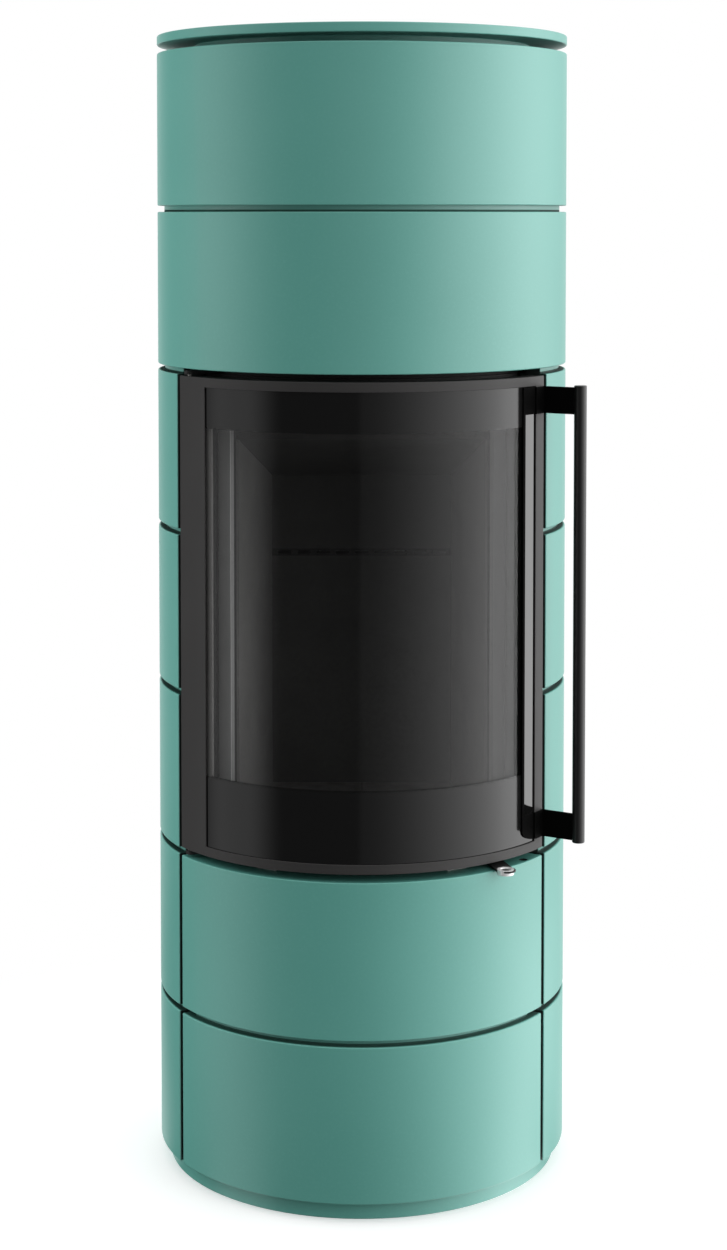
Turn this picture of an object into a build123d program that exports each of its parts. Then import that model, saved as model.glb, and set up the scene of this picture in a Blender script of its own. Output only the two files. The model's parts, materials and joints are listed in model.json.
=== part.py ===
from build123d import *
import os
from math import asin, cos, degrees, hypot, radians, sin, sqrt, tan

# Round tiled stove. Millimetres, +Z up, the front faces -Y. The origin is on the floor, on the
# axis of the round body. Angles are measured round that axis from the front, towards +X.

# ---- the tiled column ----
outer_radius = 270.0
tile_wall = 38.0
tile_height = 198.5
joint_gap = 8.0
row_count = 7
base_rows = 2
ring_rows = 2
upright_joint = 8.0
segment_angle = 120.0
tile_chamfer = 2.0
neck_recess = 9.0
neck_wall = 21.0
neck_lock = 3.0
groove_clearance = 1.0
front_neck_setback = 20.0
plinth_height = 23.0
plinth_recess = 12.5
plinth_wall = 12.5
plinth_floor = 5.0
top_gap = 11.0
top_plate_thickness = 12.0
top_plate_chamfer = 1.5
collar_recess = 50.0
collar_wall = 15.0
lip_thickness = 12.0
fixing_hole_radius = 5.5
fixing_hole_depth = 14.0
fixing_hole_angle = 52.0
fixing_hole_inset = 8.5

# ---- the steel body inside the tiles ----
casing_gap = 6.0
casing_wall = 4.0
casing_below_lip = 8.5
seat_clearance = 0.3
opening_half_angle = 45.9
opening_rail_low = 41.6
opening_rail_high = 41.0
front_frame_half_angle = 59.0
clip_thickness = 2.0
clip_width = 28.0
clip_leg = 20.0
clip_gap = 1.0
joint_clip_angle = 30.0
clip_angles_by_side = (90.0, 150.0)

# ---- the door ----
door_gap_low = 10.4
door_gap_high = 9.5
door_half_angle = 59.2
door_depth = 21.0
door_skin = 1.6
rim_height = 12.3
left_stile_angle = 47.0
right_stile_angle = 54.8
glass_thickness = 4.0
glass_setback = 0.3
glass_lap = 8.0
glass_edge_gap = 1.5
glass_gasket_thickness = 4.0
glass_gasket_width = 12.0
retainer_thickness = 3.0
retainer_width = 20.0
lug_width = 6.0
lug_height = 10.0
lug_count = 4
lug_end_gap = 48.6
flange_thickness = 3.0
flange_half_angle = 50.3
flange_rail_low = 33.6
flange_rail_high = 34.0
gasket_width = 11.0
gasket_clearance = 0.4
channel_rib = 2.0
channel_depth = 8.0

# ---- hinge and latch ----
hinge_inset = 8.0
hinge_side_inset = 12.3
hinge_pin_radius = 3.0
hinge_running_gap = 0.05
hinge_bush_length = 24.0
hinge_pin_length = 20.0
hinge_shoulder_radius = 5.0
hinge_shoulder_gap = 0.3
bush_wall = 1.6
bracket_thickness = 5.0
bracket_gap = 2.0
bracket_half_width = 7.0
roller_height = 14.0
roller_door_gap = 1.7
roller_pin_radius = 2.0
roller_gap = 0.3
latch_plate = 3.0
latch_plate_margin = 8.0
latch_plate_width = 18.0
latch_side_gap = 1.2
latch_ear = 2.0
latch_ear_width = 8.0
strike_thickness = 3.0
strike_height = 10.0
strike_length = 11.0

# ---- handle ----
handle_plate = 4.0
handle_strip_angle = 49.1
handle_strip_width = 5.6
handle_arm_height = 34.3
handle_end_gap_low = 15.0
handle_end_gap_high = 13.4
handle_angle = 59.3
handle_bar_radius = 8.0
handle_bar_depth = 51.0
handle_bar_overhang = 2.4
handle_bar_chamfer = 0.8

# ---- air control ----
rod_thickness = 3.0
rod_width = 22.0
rod_above_tile = 0.6
rod_angle = 16.2
rod_clearance = 1.0
rod_lap = 26.0
knob_radius = 10.6
knob_height = 5.5
knob_drop = 0.6
knob_chamfer = 0.6
knob_gap = 3.4
knob_angle = 39.3
knob_tongue_width = 10.0
knob_tongue_thickness = 1.6
knob_tongue_length = 4.0
slide_travel = 22.0
shutter_thickness = 3.0
shutter_width = 54.0
shutter_slots = 2
shutter_slot_width = 20.0
shutter_slot_pitch = 44.0
shutter_slot_length = 38.0
shutter_margin = 10.0
stop_pin_radius = 3.0
stop_slot_clearance = 0.5
stop_length = 96.0
stop_margin = 4.5
air_box_height = 60.0
air_box_margin = 6.0
sheet = 2.0
guide_width = 8.0
guide_lip = 3.0
guide_clearance = 0.3
air_duct_radius = 40.0
air_duct_wall = 1.5
air_duct_stop = 2.0
air_duct_foot = 1.0

# ---- firebox ----
floor_plate = 4.0
floor_plate_gap = 4.4
floor_brick = 17.0
brick_joint = 1.0
lining = 25.0
side_margin = 2.2
side_setback = 19.5
side_flare = 32.2
baffle_drop = 116.0
baffle_rise_angle = 15.5
baffle_overhang = 5.0
nozzle_drop = 108.0
nozzle_height = 10.0
nozzle_slot_pitch = 27.0
nozzle_slot_width = 18.0
nozzle_slot_height = 5.0
grate_width = 136.0
grate_length = 160.0
grate_border = 14.0
grate_slot = 8.0
grate_slots = 7
grate_shift = 12.0
ash_width = 112.0
ash_length = 176.0
ash_depth = 92.0
ash_pan_height = 56.0
ash_pan_gap = 4.0
guard_height = 62.0
guard_half_angle = 38.0
guard_setback = 5.0
guard_thickness = 3.0
channel_width = 120.0
channel_space = 20.0
channel_setback = 33.4
wash_depth = 16.0
wash_height = 22.0
upper_baffle_rise = 31.0
upper_baffle_thickness = 15.0
upper_baffle_width = 280.0
upper_baffle_gap = 132.0
hanger_radius = 4.0
hanger_length = 49.0
hanger_inset = 25.0

# ---- heat store and flue ----
block_count = 3
block_gap = 17.0
block_headroom = 12.0
flue_radius = 75.0
flue_wall = 2.0
flue_socket_depth = 60.0
flue_shoulder = 3.5
flue_below_top = 2.0
flue_clearance = 2.0

# ---- a cut runs this far past the face that it goes through ----
past = 1.0

# ---- levels and radii worked out from the sizes above ----
row_pitch = tile_height + joint_gap
tile_inner_radius = outer_radius - tile_wall
casing_outer_radius = tile_inner_radius - casing_gap
casing_inner_radius = casing_outer_radius - casing_wall
plinth_radius = outer_radius - plinth_recess
plinth_inner_radius = plinth_radius - plinth_wall
neck_outer_radius = outer_radius - neck_recess
neck_inner_radius = neck_outer_radius - neck_wall
joint_half_angle = degrees(asin(upright_joint / 2 / outer_radius))
front_half_angle = segment_angle / 2 - joint_half_angle
side_start_angle = segment_angle / 2 + joint_half_angle
side_end_angle = 180.0 - joint_half_angle


def row_low(row):
    """Height of the underside of a row of tiles, row 1 being the lowest."""
    return plinth_height + (row - 1) * row_pitch


def row_high(row):
    """Height of the top of a row of tiles."""
    return row_low(row) + tile_height


side_rows = row_count - ring_rows
column_high = row_high(row_count)
top_plate_low = column_high + top_gap
overall_height = top_plate_low + top_plate_thickness
collar_outer_radius = outer_radius - collar_recess
collar_inner_radius = collar_outer_radius - collar_wall
casing_high = column_high - lip_thickness - casing_below_lip

base_high = row_high(base_rows)
door_low = base_high + door_gap_low
door_high = row_low(side_rows + 1) - door_gap_high
door_inner_radius = outer_radius - door_depth
opening_low = door_low + opening_rail_low
opening_high = door_high - opening_rail_high
frame_low = door_low - bracket_gap
frame_high = door_high + bracket_gap

rod_low = base_high + rod_above_tile
rod_high = rod_low + rod_thickness
shutter_low = rod_low - shutter_thickness
stop_slot_half = stop_pin_radius + stop_slot_clearance
shutter_near = stop_length + slide_travel + stop_slot_half + stop_margin
shutter_reach = (shutter_slots - 1) * shutter_slot_pitch / 2 + shutter_slot_width / 2
rod_end = shutter_near + rod_lap
shutter_middle = rod_end + rod_clearance + shutter_reach
shutter_far = shutter_middle + shutter_reach + shutter_margin
air_box_high = shutter_low
air_box_low = air_box_high - air_box_height
air_box_width = shutter_width + 2 * (guide_clearance + guide_width + sheet)
air_box_near = shutter_middle - shutter_reach - slide_travel - air_box_margin - sheet
air_box_far = shutter_middle + shutter_reach + air_box_margin + sheet

floor_plate_low = rod_high + floor_plate_gap
hearth_low = floor_plate_low + floor_plate
hearth_high = hearth_low + floor_brick
back_high = opening_high - baffle_drop
nozzle_low = back_high - nozzle_drop - nozzle_height / 2
nozzle_high = nozzle_low + nozzle_height
channel_high = nozzle_high + 2 * sheet
ash_low = floor_plate_low - ash_depth
ash_front = -ash_length / 2 - grate_shift
ash_back = ash_length / 2 - grate_shift
liner_radius = casing_inner_radius - seat_clearance
channel_back = sqrt(casing_inner_radius ** 2 - (channel_width / 2) ** 2) - channel_setback
channel_front = channel_back - channel_space
back_wall = channel_front - seat_clearance - lining
side_front = casing_inner_radius * cos(radians(opening_half_angle)) - side_setback
front_half_width = casing_inner_radius * sin(radians(opening_half_angle)) - side_margin
back_half_width = front_half_width - side_flare
nozzle_count = int(2 * back_half_width / nozzle_slot_pitch)
baffle_front = side_front + baffle_overhang
baffle_slope = tan(radians(baffle_rise_angle))
upper_baffle_low = opening_high + upper_baffle_rise
upper_baffle_high = upper_baffle_low + upper_baffle_thickness
roof_low = upper_baffle_high + hanger_length
roof_high = roof_low + floor_plate
block_height = (casing_high - block_headroom - roof_high) / block_count
block_outer_radius = casing_inner_radius - block_gap

skin_inner_radius = outer_radius - door_skin
glass_outer_radius = skin_inner_radius - glass_setback
glass_inner_radius = glass_outer_radius - glass_thickness
glass_gasket_inner = glass_inner_radius - glass_gasket_thickness
retainer_inner = glass_gasket_inner - retainer_thickness
flange_outer = door_inner_radius + flange_thickness
flange_window_low = door_low + flange_rail_low
flange_window_high = door_high - flange_rail_high
hinge_radius = outer_radius - hinge_inset
hinge_angle = -(door_half_angle - degrees(hinge_side_inset / hinge_radius))
roller_radius = (door_inner_radius - tile_inner_radius - latch_plate - roller_gap - roller_door_gap) / 2
roller_centre_radius = tile_inner_radius + latch_plate + roller_gap + roller_radius
latch_level = (door_low + door_high) / 2
handle_low = door_low + handle_end_gap_low
handle_high = door_high - handle_end_gap_high
handle_bar_place = outer_radius + handle_bar_depth
knob_place = outer_radius + knob_gap + knob_radius


# ---- shared shapes ----
def polar(radius, angle, height=0.0):
    """A point at an angle from the front, at a height."""
    return (radius * sin(radians(angle)), -radius * cos(radians(angle)), height)


def turned(start):
    """Moves a shape swept from +X so that it begins at an angle from the front."""
    return Rot(0, 0, start - 90)


def arc_angle(length, radius=outer_radius):
    """The angle that a length takes up at a radius."""
    return degrees(length / radius)


def swept(points, start=0.0, end=360.0):
    """Turns an outline of (radius, height) points round the stove's axis."""
    outline = Polyline(*[(r, 0, z) for r, z in points], close=True)
    return turned(start) * revolve(make_face(outline), Axis.Z, end - start)


def band(inner, outer, low, high, start=0.0, end=360.0):
    """A curved plate or ring of plain rectangular section."""
    return swept([(inner, low), (outer, low), (outer, high), (inner, high)], start, end)


def curved_frame(inner, outer, low, high, start, end, side, edge):
    """A curved plate with a window. side is its upright members' angle, edge its rails' height."""
    plate = band(inner, outer, low, high, start, end)
    return plate - band(inner - past, outer + past, low + edge, high - edge, start + side, end - side)


def upright(radius, low, high, x=0.0, y=0.0):
    """A round post between two heights."""
    return Pos(x, y, (low + high) / 2) * Cylinder(radius, high - low)


def block(x0, x1, y0, y1, z0, z1):
    """A box between two corners."""
    return Pos((x0 + x1) / 2, (y0 + y1) / 2, (z0 + z1) / 2) * Box(x1 - x0, y1 - y0, z1 - z0)


def radial_block(inner, outer, width, low, high, angle):
    """A box that points away from the stove's axis at an angle from the front."""
    place = Pos(*polar((inner + outer) / 2, angle, (low + high) / 2))
    return place * Rot(0, 0, angle) * Box(width, outer - inner, high - low)


def slab(points, low, high):
    """An outline in plan, raised between two heights."""
    outline = make_face(Polyline(*points, close=True))
    return Pos(0, 0, low) * extrude(outline, high - low)


def inside_casing(shape):
    """Trims a shape to the round body."""
    return shape & upright(liner_radius, 0, overall_height)


parts = {}


# ---- plinth and tiles ----
def make_plinth():
    """A shallow dish: its rim carries the lowest tiles and its floor carries the casing."""
    dish = swept([
        (0, 0), (plinth_radius, 0), (plinth_radius, plinth_height), (plinth_inner_radius, plinth_height),
        (plinth_inner_radius, plinth_floor), (0, plinth_floor)])
    hole = air_duct_radius + air_duct_wall + rod_clearance
    return dish - upright(hole, -past, plinth_floor + past, *air_centre)


def tile_outline(row, lock_groove=True):
    """Section of a tile wall, with the groove that drops over the neck of the tile below."""
    low, high = row_low(row), row_high(row)
    outline = [
        (tile_inner_radius, low), (tile_inner_radius, high),
        (outer_radius - tile_chamfer, high), (outer_radius, high - tile_chamfer),
        (outer_radius, low + tile_chamfer), (outer_radius - tile_chamfer, low)]
    if lock_groove:
        outer, inner = neck_outer_radius + groove_clearance, neck_inner_radius - groove_clearance
        outline += [(outer, low), (outer, low + neck_lock), (inner, low + neck_lock), (inner, low)]
    return outline


def make_neck(row, start=0.0, end=360.0):
    """The raised neck on a tile, which sets the joint and locks into the tile above."""
    high = row_high(row)
    return band(neck_inner_radius, neck_outer_radius, high, high + joint_gap + neck_lock, start, end)


def make_side_tile(row, start, end):
    """A curved tile that runs from the door to the joint at the back."""
    tile = swept(tile_outline(row, lock_groove=row > 1), start, end)
    return tile + make_neck(row, start, end)


def make_front_tile(row):
    """The lower front tile has a neck that stops short of its ends. The top one has none."""
    tile = swept(tile_outline(row, lock_groove=row > 1), -front_half_angle, front_half_angle)
    if row < base_rows:
        neck_half = front_half_angle - arc_angle(front_neck_setback)
        return tile + make_neck(row, -neck_half, neck_half)
    x, y, high = polar(outer_radius - fixing_hole_inset, fixing_hole_angle, row_high(row))
    return tile - upright(fixing_hole_radius, high - fixing_hole_depth, high + past, x, y)


def make_ring(row):
    """A whole ring of tile. The top one has an inner lip that carries the top plate's collar."""
    ring = swept(tile_outline(row))
    if row < row_count:
        return ring + make_neck(row)
    return ring + band(collar_inner_radius, tile_inner_radius, column_high - lip_thickness, column_high)


def make_top_plate():
    """The cover plate, with a smaller collar under it that leaves the shadow gap."""
    low, high = top_plate_low, overall_height
    edge, bore = top_plate_chamfer, flue_radius + flue_wall + flue_clearance
    plate = swept([
        (bore, low), (outer_radius - edge, low), (outer_radius, low + edge),
        (outer_radius, high - edge), (outer_radius - edge, high), (bore, high)])
    return plate + band(collar_inner_radius, collar_outer_radius, column_high, low)


def clip_angles(row):
    """Where a row's clips are: two to each tile, or four round a whole ring."""
    if row > side_rows:
        return [0, 90, 180, 270]
    sides = [side * angle for side in (-1, 1) for angle in clip_angles_by_side]
    return sides + ([-joint_clip_angle, joint_clip_angle] if row <= base_rows else [])


def make_tile_clips():
    """Bent steel clips on the casing that hold each tile at its top edge."""
    clips = []
    for row in range(1, row_count):
        high = row_high(row)
        top = high + clip_thickness
        leg_outer = casing_outer_radius + clip_thickness
        for angle in clip_angles(row):
            leg = radial_block(casing_outer_radius, leg_outer, clip_width, high - clip_leg, top, angle)
            tab = radial_block(leg_outer, neck_inner_radius - clip_gap, clip_width, high, top, angle)
            clips.append(leg + tab)
    return Compound(clips)


# ---- air control: everything lies along the rod, which leaves the stove at rod_angle ----
knob_x, knob_y, _ = polar(knob_place, knob_angle)
rod_x, rod_y = sin(radians(rod_angle)), -cos(radians(rod_angle))


def along_rod(offset, height=0.0, across=0.0):
    """A place on the rod's line, measured inwards from the middle of the knob."""
    x = knob_x - offset * rod_x - across * rod_y
    y = knob_y - offset * rod_y + across * rod_x
    return Pos(x, y, height) * Rot(0, 0, rod_angle)


def rod_box(width, low, high, near, far, across=0.0):
    """A box along the rod, between two offsets from the knob."""
    return along_rod((near + far) / 2, (low + high) / 2, across) * Box(width, far - near, high - low)


def plan_point(offset):
    """A place on the rod's line as plain x and y."""
    return tuple(along_rod(offset).position)[:2]


air_centre = plan_point((air_box_near + air_box_far) / 2)


def shutter_slots_cut(low, high, shift=0.0):
    """The row of slots that the shutter and the air box share, moved outwards by shift."""
    cuts = []
    for index in range(shutter_slots):
        middle = shutter_middle - shift + (index - (shutter_slots - 1) / 2) * shutter_slot_pitch
        near, far = middle - shutter_slot_width / 2, middle + shutter_slot_width / 2
        cuts.append(rod_box(shutter_slot_length, low, high, near, far))
    return cuts


def knob_tongue():
    """The thin tongue at the end of the bar that enters the knob."""
    high = rod_low + knob_tongue_thickness
    return rod_box(knob_tongue_width, rod_low, high, -knob_tongue_length, knob_radius + past)


def make_air_rod():
    """A flat bar whose end fits round the knob, with a slot that stops its travel on a pin."""
    bar = rod_box(rod_width, rod_low, rod_high, 0, rod_end)
    bar -= along_rod(0, rod_low) * Cylinder(knob_radius, 2 * (rod_thickness + past))
    bar += knob_tongue()
    near, far = stop_length, stop_length + slide_travel
    bar -= rod_box(2 * stop_slot_half, rod_low - past, rod_high + past, near, far)
    for offset in (near, far):
        bar -= along_rod(offset, rod_low) * Cylinder(stop_slot_half, 2 * (rod_thickness + past))
    return bar.solids().sort_by(SortBy.VOLUME)[-1]


def make_air_knob():
    """A round button on the bar's tongue, hanging a little lower than the bar."""
    high = rod_high - knob_drop
    knob = along_rod(0, high - knob_height / 2) * Cylinder(knob_radius, knob_height)
    return chamfer(knob.edges().filter_by(GeomType.CIRCLE), knob_chamfer) - knob_tongue()


def make_air_shutter():
    """The slotted plate under the inner end of the bar."""
    plate = rod_box(shutter_width, shutter_low, rod_low, shutter_near, shutter_far)
    for slot in shutter_slots_cut(shutter_low - past, rod_low + past):
        plate -= slot
    return plate


def make_slide_guides():
    """Two lipped rails on the air box that keep the shutter down and straight."""
    guides = []
    rail_middle = shutter_width / 2 + guide_clearance + guide_width / 2
    lip_low = rod_low + guide_clearance
    for side in (-1, 1):
        lip_middle = side * (rail_middle - guide_lip / 2)
        lip_width, lip_high = guide_width + guide_lip, lip_low + sheet
        rail = rod_box(guide_width, air_box_high, lip_low, air_box_near, air_box_far, side * rail_middle)
        guides.append(rail + rod_box(lip_width, lip_low, lip_high, air_box_near, air_box_far, lip_middle))
    return Compound(guides)


def make_air_box():
    """A sheet box over the duct. Its slots line up with the shutter's when the bar is pulled out."""
    box = rod_box(air_box_width, air_box_low, air_box_high, air_box_near, air_box_far)
    box -= rod_box(air_box_width - 2 * sheet, air_box_low + sheet, air_box_high - sheet,
                   air_box_near + sheet, air_box_far - sheet)
    for slot in shutter_slots_cut(air_box_high - sheet - past, air_box_high + past, slide_travel):
        box -= slot
    hole = air_duct_radius - air_duct_stop
    return box - upright(hole, air_box_low - past, air_box_low + sheet + past, *air_centre)


def make_air_duct():
    """The duct for outside air, which stands just clear of the floor."""
    outer = upright(air_duct_radius + air_duct_wall, air_duct_foot, air_box_low, *air_centre)
    return outer - upright(air_duct_radius, air_duct_foot - past, air_box_low + past, *air_centre)


# ---- steel body ----
def make_body_casing():
    """The rolled steel body behind the tiles, open at the door and where the air bar comes out."""
    casing = band(casing_inner_radius, casing_outer_radius, plinth_floor, casing_high)
    inner, outer = casing_inner_radius - past, casing_outer_radius + past
    casing -= band(inner, outer, opening_low, opening_high, -opening_half_angle, opening_half_angle)
    slot_width, low, high = rod_width + 2 * rod_clearance, rod_low - rod_clearance, rod_high + rod_clearance
    return casing - rod_box(slot_width, low, high, knob_radius, stop_length)


def make_front_frame():
    """The curved plate that the door closes against."""
    half, opening = front_frame_half_angle, opening_half_angle
    plate = band(casing_outer_radius, tile_inner_radius, frame_low, frame_high, -half, half)
    return plate - band(casing_outer_radius - past, tile_inner_radius + past, opening_low, opening_high,
                        -opening, opening)


def make_firebox_floor():
    """The round steel plate under the fire, with the pin that stops the air bar's slot."""
    plate = upright(liner_radius, floor_plate_low, hearth_low)
    low, high = floor_plate_low - past, hearth_low + past
    plate -= block(-ash_width / 2, ash_width / 2, ash_front, ash_back, low, high)
    half = channel_width / 2 - sheet
    plate -= block(-half, half, channel_front, channel_back - sheet, low, high)
    return plate + upright(stop_pin_radius, shutter_low, floor_plate_low, *plan_point(stop_length))


def make_firebox_roof():
    """The round steel plate over the fire, with the hole for the smoke."""
    plate = upright(liner_radius, roof_low, roof_high)
    return plate - upright(flue_radius - flue_shoulder, roof_low - past, roof_high + past)


# ---- firebox ----
def side_line(y):
    """Half width of the firebox at a depth, between its flared side walls."""
    share = (back_wall - y) / (back_wall + side_front)
    return back_half_width + side_flare * share


def baffle_under(y):
    """Height of the sloping baffle's underside at a depth."""
    return back_high + (back_wall - y) * baffle_slope


def make_floor_lining():
    """Two hearth bricks that fit round the grate."""
    low, high = hearth_low - past, hearth_high + past
    front = -sqrt(liner_radius ** 2 - front_half_width ** 2)
    half_width, half_length = grate_width / 2 + brick_joint, grate_length / 2 + brick_joint
    grate_hole = block(-half_width, half_width,
                       -grate_shift - half_length, -grate_shift + half_length, low, high)
    bricks = []
    for side in (-1, 1):
        near, wide = side * brick_joint / 2, side * side_line(front)
        plan = [(near, back_wall), (side * back_half_width, back_wall), (wide, front),
                (wide, -outer_radius), (near, -outer_radius)]
        side_wall = [(side * side_line(back_wall), back_wall), (side * side_line(-side_front), -side_front),
                     (side * outer_radius, -side_front), (side * outer_radius, back_wall)]
        brick = inside_casing(slab(plan, hearth_low, hearth_high)) - slab(side_wall, low, high)
        bricks.append(brick - grate_hole)
    return Compound(bricks)


def make_grate():
    """A cast grate with a rib between each pair of slots."""
    half_width, half_length = grate_width / 2, grate_length / 2
    grate = block(-half_width, half_width, -grate_shift - half_length, -grate_shift + half_length,
                  hearth_low, hearth_high)
    pitch = (grate_length - 2 * grate_border) / (grate_slots - 1)
    slot_half = half_width - grate_border
    for index in range(grate_slots):
        y = -grate_shift + (index - (grate_slots - 1) / 2) * pitch
        grate -= block(-slot_half, slot_half, y - grate_slot / 2, y + grate_slot / 2,
                       hearth_low - past, hearth_high + past)
    return grate


def open_box(inset, low, high):
    """A sheet box without a lid, set in from the outside of the ash box."""
    half, front, back = ash_width / 2 - inset, ash_front + inset, ash_back - inset
    box = block(-half, half, front, back, low, high)
    return box - block(-half + sheet, half - sheet, front + sheet, back - sheet, low + sheet, high + past)


def make_ash_box():
    """The sheet chute under the grate, which holds the ash pan."""
    return open_box(0.0, ash_low, floor_plate_low)


def make_ash_pan():
    """The loose pan that catches the ash."""
    return open_box(sheet + ash_pan_gap, ash_low + sheet, ash_low + sheet + ash_pan_height)


def make_back_lining(low, high):
    """A slab of the back wall."""
    half = back_half_width + lining
    return inside_casing(block(-half, half, back_wall, back_wall + lining, low, high))


def make_side_lining(side):
    """A flared side wall whose top follows the baffle."""
    front, back = -side_front, back_wall - seat_clearance
    plan = [(side * side_line(back), back), (side * (side_line(back) + lining), back),
            (side * (side_line(front) + lining), front), (side * side_line(front), front)]
    wall = inside_casing(slab(plan, hearth_low, roof_low))
    return wall - above_baffle()


def above_baffle(lift=0.0):
    """Everything above the sloping baffle's underside, raised by lift."""
    front, back = -outer_radius, outer_radius
    outline = [(0, front, baffle_under(front) + lift), (0, back, baffle_under(back) + lift),
               (0, back, overall_height), (0, front, overall_height)]
    return extrude(make_face(Polyline(*outline, close=True)), outer_radius, both=True)


def make_lower_baffle():
    """The lower baffle rests on the side walls and rises towards the front."""
    half = side_line(-baffle_front) + lining / 2
    plate = block(-half, half, -baffle_front, back_wall - seat_clearance, hearth_high, roof_low)
    plate = plate & above_baffle()
    return inside_casing(plate - above_baffle(lining / cos(radians(baffle_rise_angle))))


def make_nozzle_bar():
    """A slotted bar across the back wall that lets in the second air."""
    bar = make_back_lining(nozzle_low, nozzle_high)
    middle = (nozzle_low + nozzle_high) / 2
    low, high = middle - nozzle_slot_height / 2, middle + nozzle_slot_height / 2
    for index in range(nozzle_count):
        x = (index - (nozzle_count - 1) / 2) * nozzle_slot_pitch
        bar -= block(x - nozzle_slot_width / 2, x + nozzle_slot_width / 2,
                     back_wall - past, back_wall + lining + past, low, high)
    return bar


def make_rear_channel():
    """A folded channel behind the back wall that feeds the slotted bar."""
    half, inner = channel_width / 2, channel_width / 2 - sheet
    channel = block(-half, half, channel_front, channel_back, hearth_low, channel_high)
    return channel - block(-inner, inner, channel_front - past, channel_back - sheet,
                           hearth_low - past, channel_high - sheet)


def make_wash_channel():
    """A curved channel over the door opening that blows air down the glass."""
    inner, high = liner_radius - wash_depth, opening_high + wash_height
    half = opening_half_angle
    wall = arc_angle(sheet, liner_radius)
    channel = band(inner, liner_radius, opening_high, high, -half, half)
    return channel - band(inner + sheet, liner_radius - sheet, opening_high - past, high - sheet,
                          -half + wall, half - wall)


def make_log_guard():
    """A curved strip that keeps logs off the glass."""
    outer = casing_inner_radius - guard_setback
    return band(outer - guard_thickness, outer, hearth_high, hearth_high + guard_height,
                -guard_half_angle, guard_half_angle)


def make_upper_baffle():
    """A level plate that turns the smoke once more before it reaches the roof."""
    half, back = upper_baffle_width / 2, casing_inner_radius - upper_baffle_gap
    return inside_casing(block(-half, half, -casing_inner_radius, back, upper_baffle_low, upper_baffle_high))


def make_baffle_hangers():
    """Four rods that hang the upper baffle from the roof."""
    spread = upper_baffle_width / 2 - hanger_inset
    back = casing_inner_radius - upper_baffle_gap - hanger_inset
    return Compound([upright(hanger_radius, upper_baffle_high, roof_low, x, y)
                     for x in (-spread, spread) for y in (-spread, back)])


# ---- heat store and flue ----
def make_storage_blocks():
    """Cast blocks stacked round the flue, which hold the heat."""
    inner = flue_radius + flue_wall + flue_clearance
    levels = [roof_high + index * block_height for index in range(block_count)]
    return Compound([band(inner, block_outer_radius, low, low + block_height) for low in levels])


def make_flue_pipe():
    """The flue pipe widens at its top into a socket for the chimney pipe."""
    high = overall_height - flue_below_top
    shoulder = high - flue_socket_depth
    inner, socket_outer = flue_radius - flue_shoulder, flue_radius + flue_wall
    outer, shoulder_low = inner + flue_wall, shoulder - flue_wall
    return swept([
        (inner, roof_high), (outer, roof_high), (outer, shoulder_low), (socket_outer, shoulder_low),
        (socket_outer, high), (flue_radius, high), (flue_radius, shoulder), (inner, shoulder)])


# ---- door ----
glass_start = -left_stile_angle - arc_angle(glass_lap)
glass_end = right_stile_angle + arc_angle(glass_lap)
glass_low = door_low + door_skin + glass_edge_gap
glass_high = door_high - door_skin - glass_edge_gap
lug_offset = arc_angle(glass_edge_gap + lug_width / 2)
lug_angles = (glass_start - lug_offset, glass_end + lug_offset)


def make_door_frame():
    """A pressed frame: a curved skin round the glass, turned back at its four edges."""
    half = door_half_angle
    low, high = door_low + rim_height, door_high - rim_height
    frame = band(skin_inner_radius, outer_radius, door_low, door_high, -half, half)
    frame -= band(skin_inner_radius - past, outer_radius + past, low, high,
                  -left_stile_angle, right_stile_angle)
    edge = arc_angle(door_skin)
    for low in (door_low, door_high - door_skin):
        frame += band(door_inner_radius, skin_inner_radius, low, low + door_skin, -half, half)
    for start in (-half, half - edge):
        frame += band(door_inner_radius, skin_inner_radius, door_low, door_high, start, start + edge)
    run = door_high - door_low - 2 * lug_end_gap
    for angle in lug_angles:
        for index in range(lug_count):
            middle = door_low + lug_end_gap + index * run / (lug_count - 1)
            low, high = middle - lug_height / 2, middle + lug_height / 2
            lug_outer = skin_inner_radius + door_skin / 2
            frame += radial_block(glass_gasket_inner, lug_outer, lug_width, low, high, angle)
    x, y, _ = polar(hinge_radius, hinge_angle)
    hole = hinge_pin_radius + hinge_running_gap + bush_wall
    frame -= upright(hole, door_low - past, door_low + door_skin + past, x, y)
    return frame - upright(hole, door_high - door_skin - past, door_high + past, x, y)


def make_door_glass():
    """The curved pane."""
    return band(glass_inner_radius, glass_outer_radius, glass_low, glass_high, glass_start, glass_end)


def make_glass_gasket():
    """The flat seal between the pane and its clamp."""
    side = arc_angle(glass_gasket_width)
    return curved_frame(glass_gasket_inner, glass_inner_radius, glass_low, glass_high,
                        glass_start, glass_end, side, glass_gasket_width)


def make_glass_retainer():
    """A curved clamping frame behind the glass, carried by the lugs of the door frame."""
    reach = lug_offset + arc_angle(lug_width / 2)
    return curved_frame(retainer_inner, glass_gasket_inner, glass_low, glass_high, glass_start - reach,
                        glass_end + reach, arc_angle(retainer_width), retainer_width)


rib_angle = arc_angle(channel_rib, door_inner_radius)
gasket_angle = arc_angle(gasket_width, door_inner_radius)
gasket_end = flange_half_angle + rib_angle + gasket_angle
gasket_low = flange_window_low - channel_rib - gasket_width
gasket_high = flange_window_high + channel_rib + gasket_width


def make_door_flange():
    """The inner plate of the door."""
    half, window = door_half_angle - arc_angle(door_skin + seat_clearance), flange_half_angle
    flange = band(door_inner_radius, flange_outer, door_low + door_skin, door_high - door_skin, -half, half)
    inner, outer = door_inner_radius - past, flange_outer + past
    return flange - band(inner, outer, flange_window_low, flange_window_high, -window, window)


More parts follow.
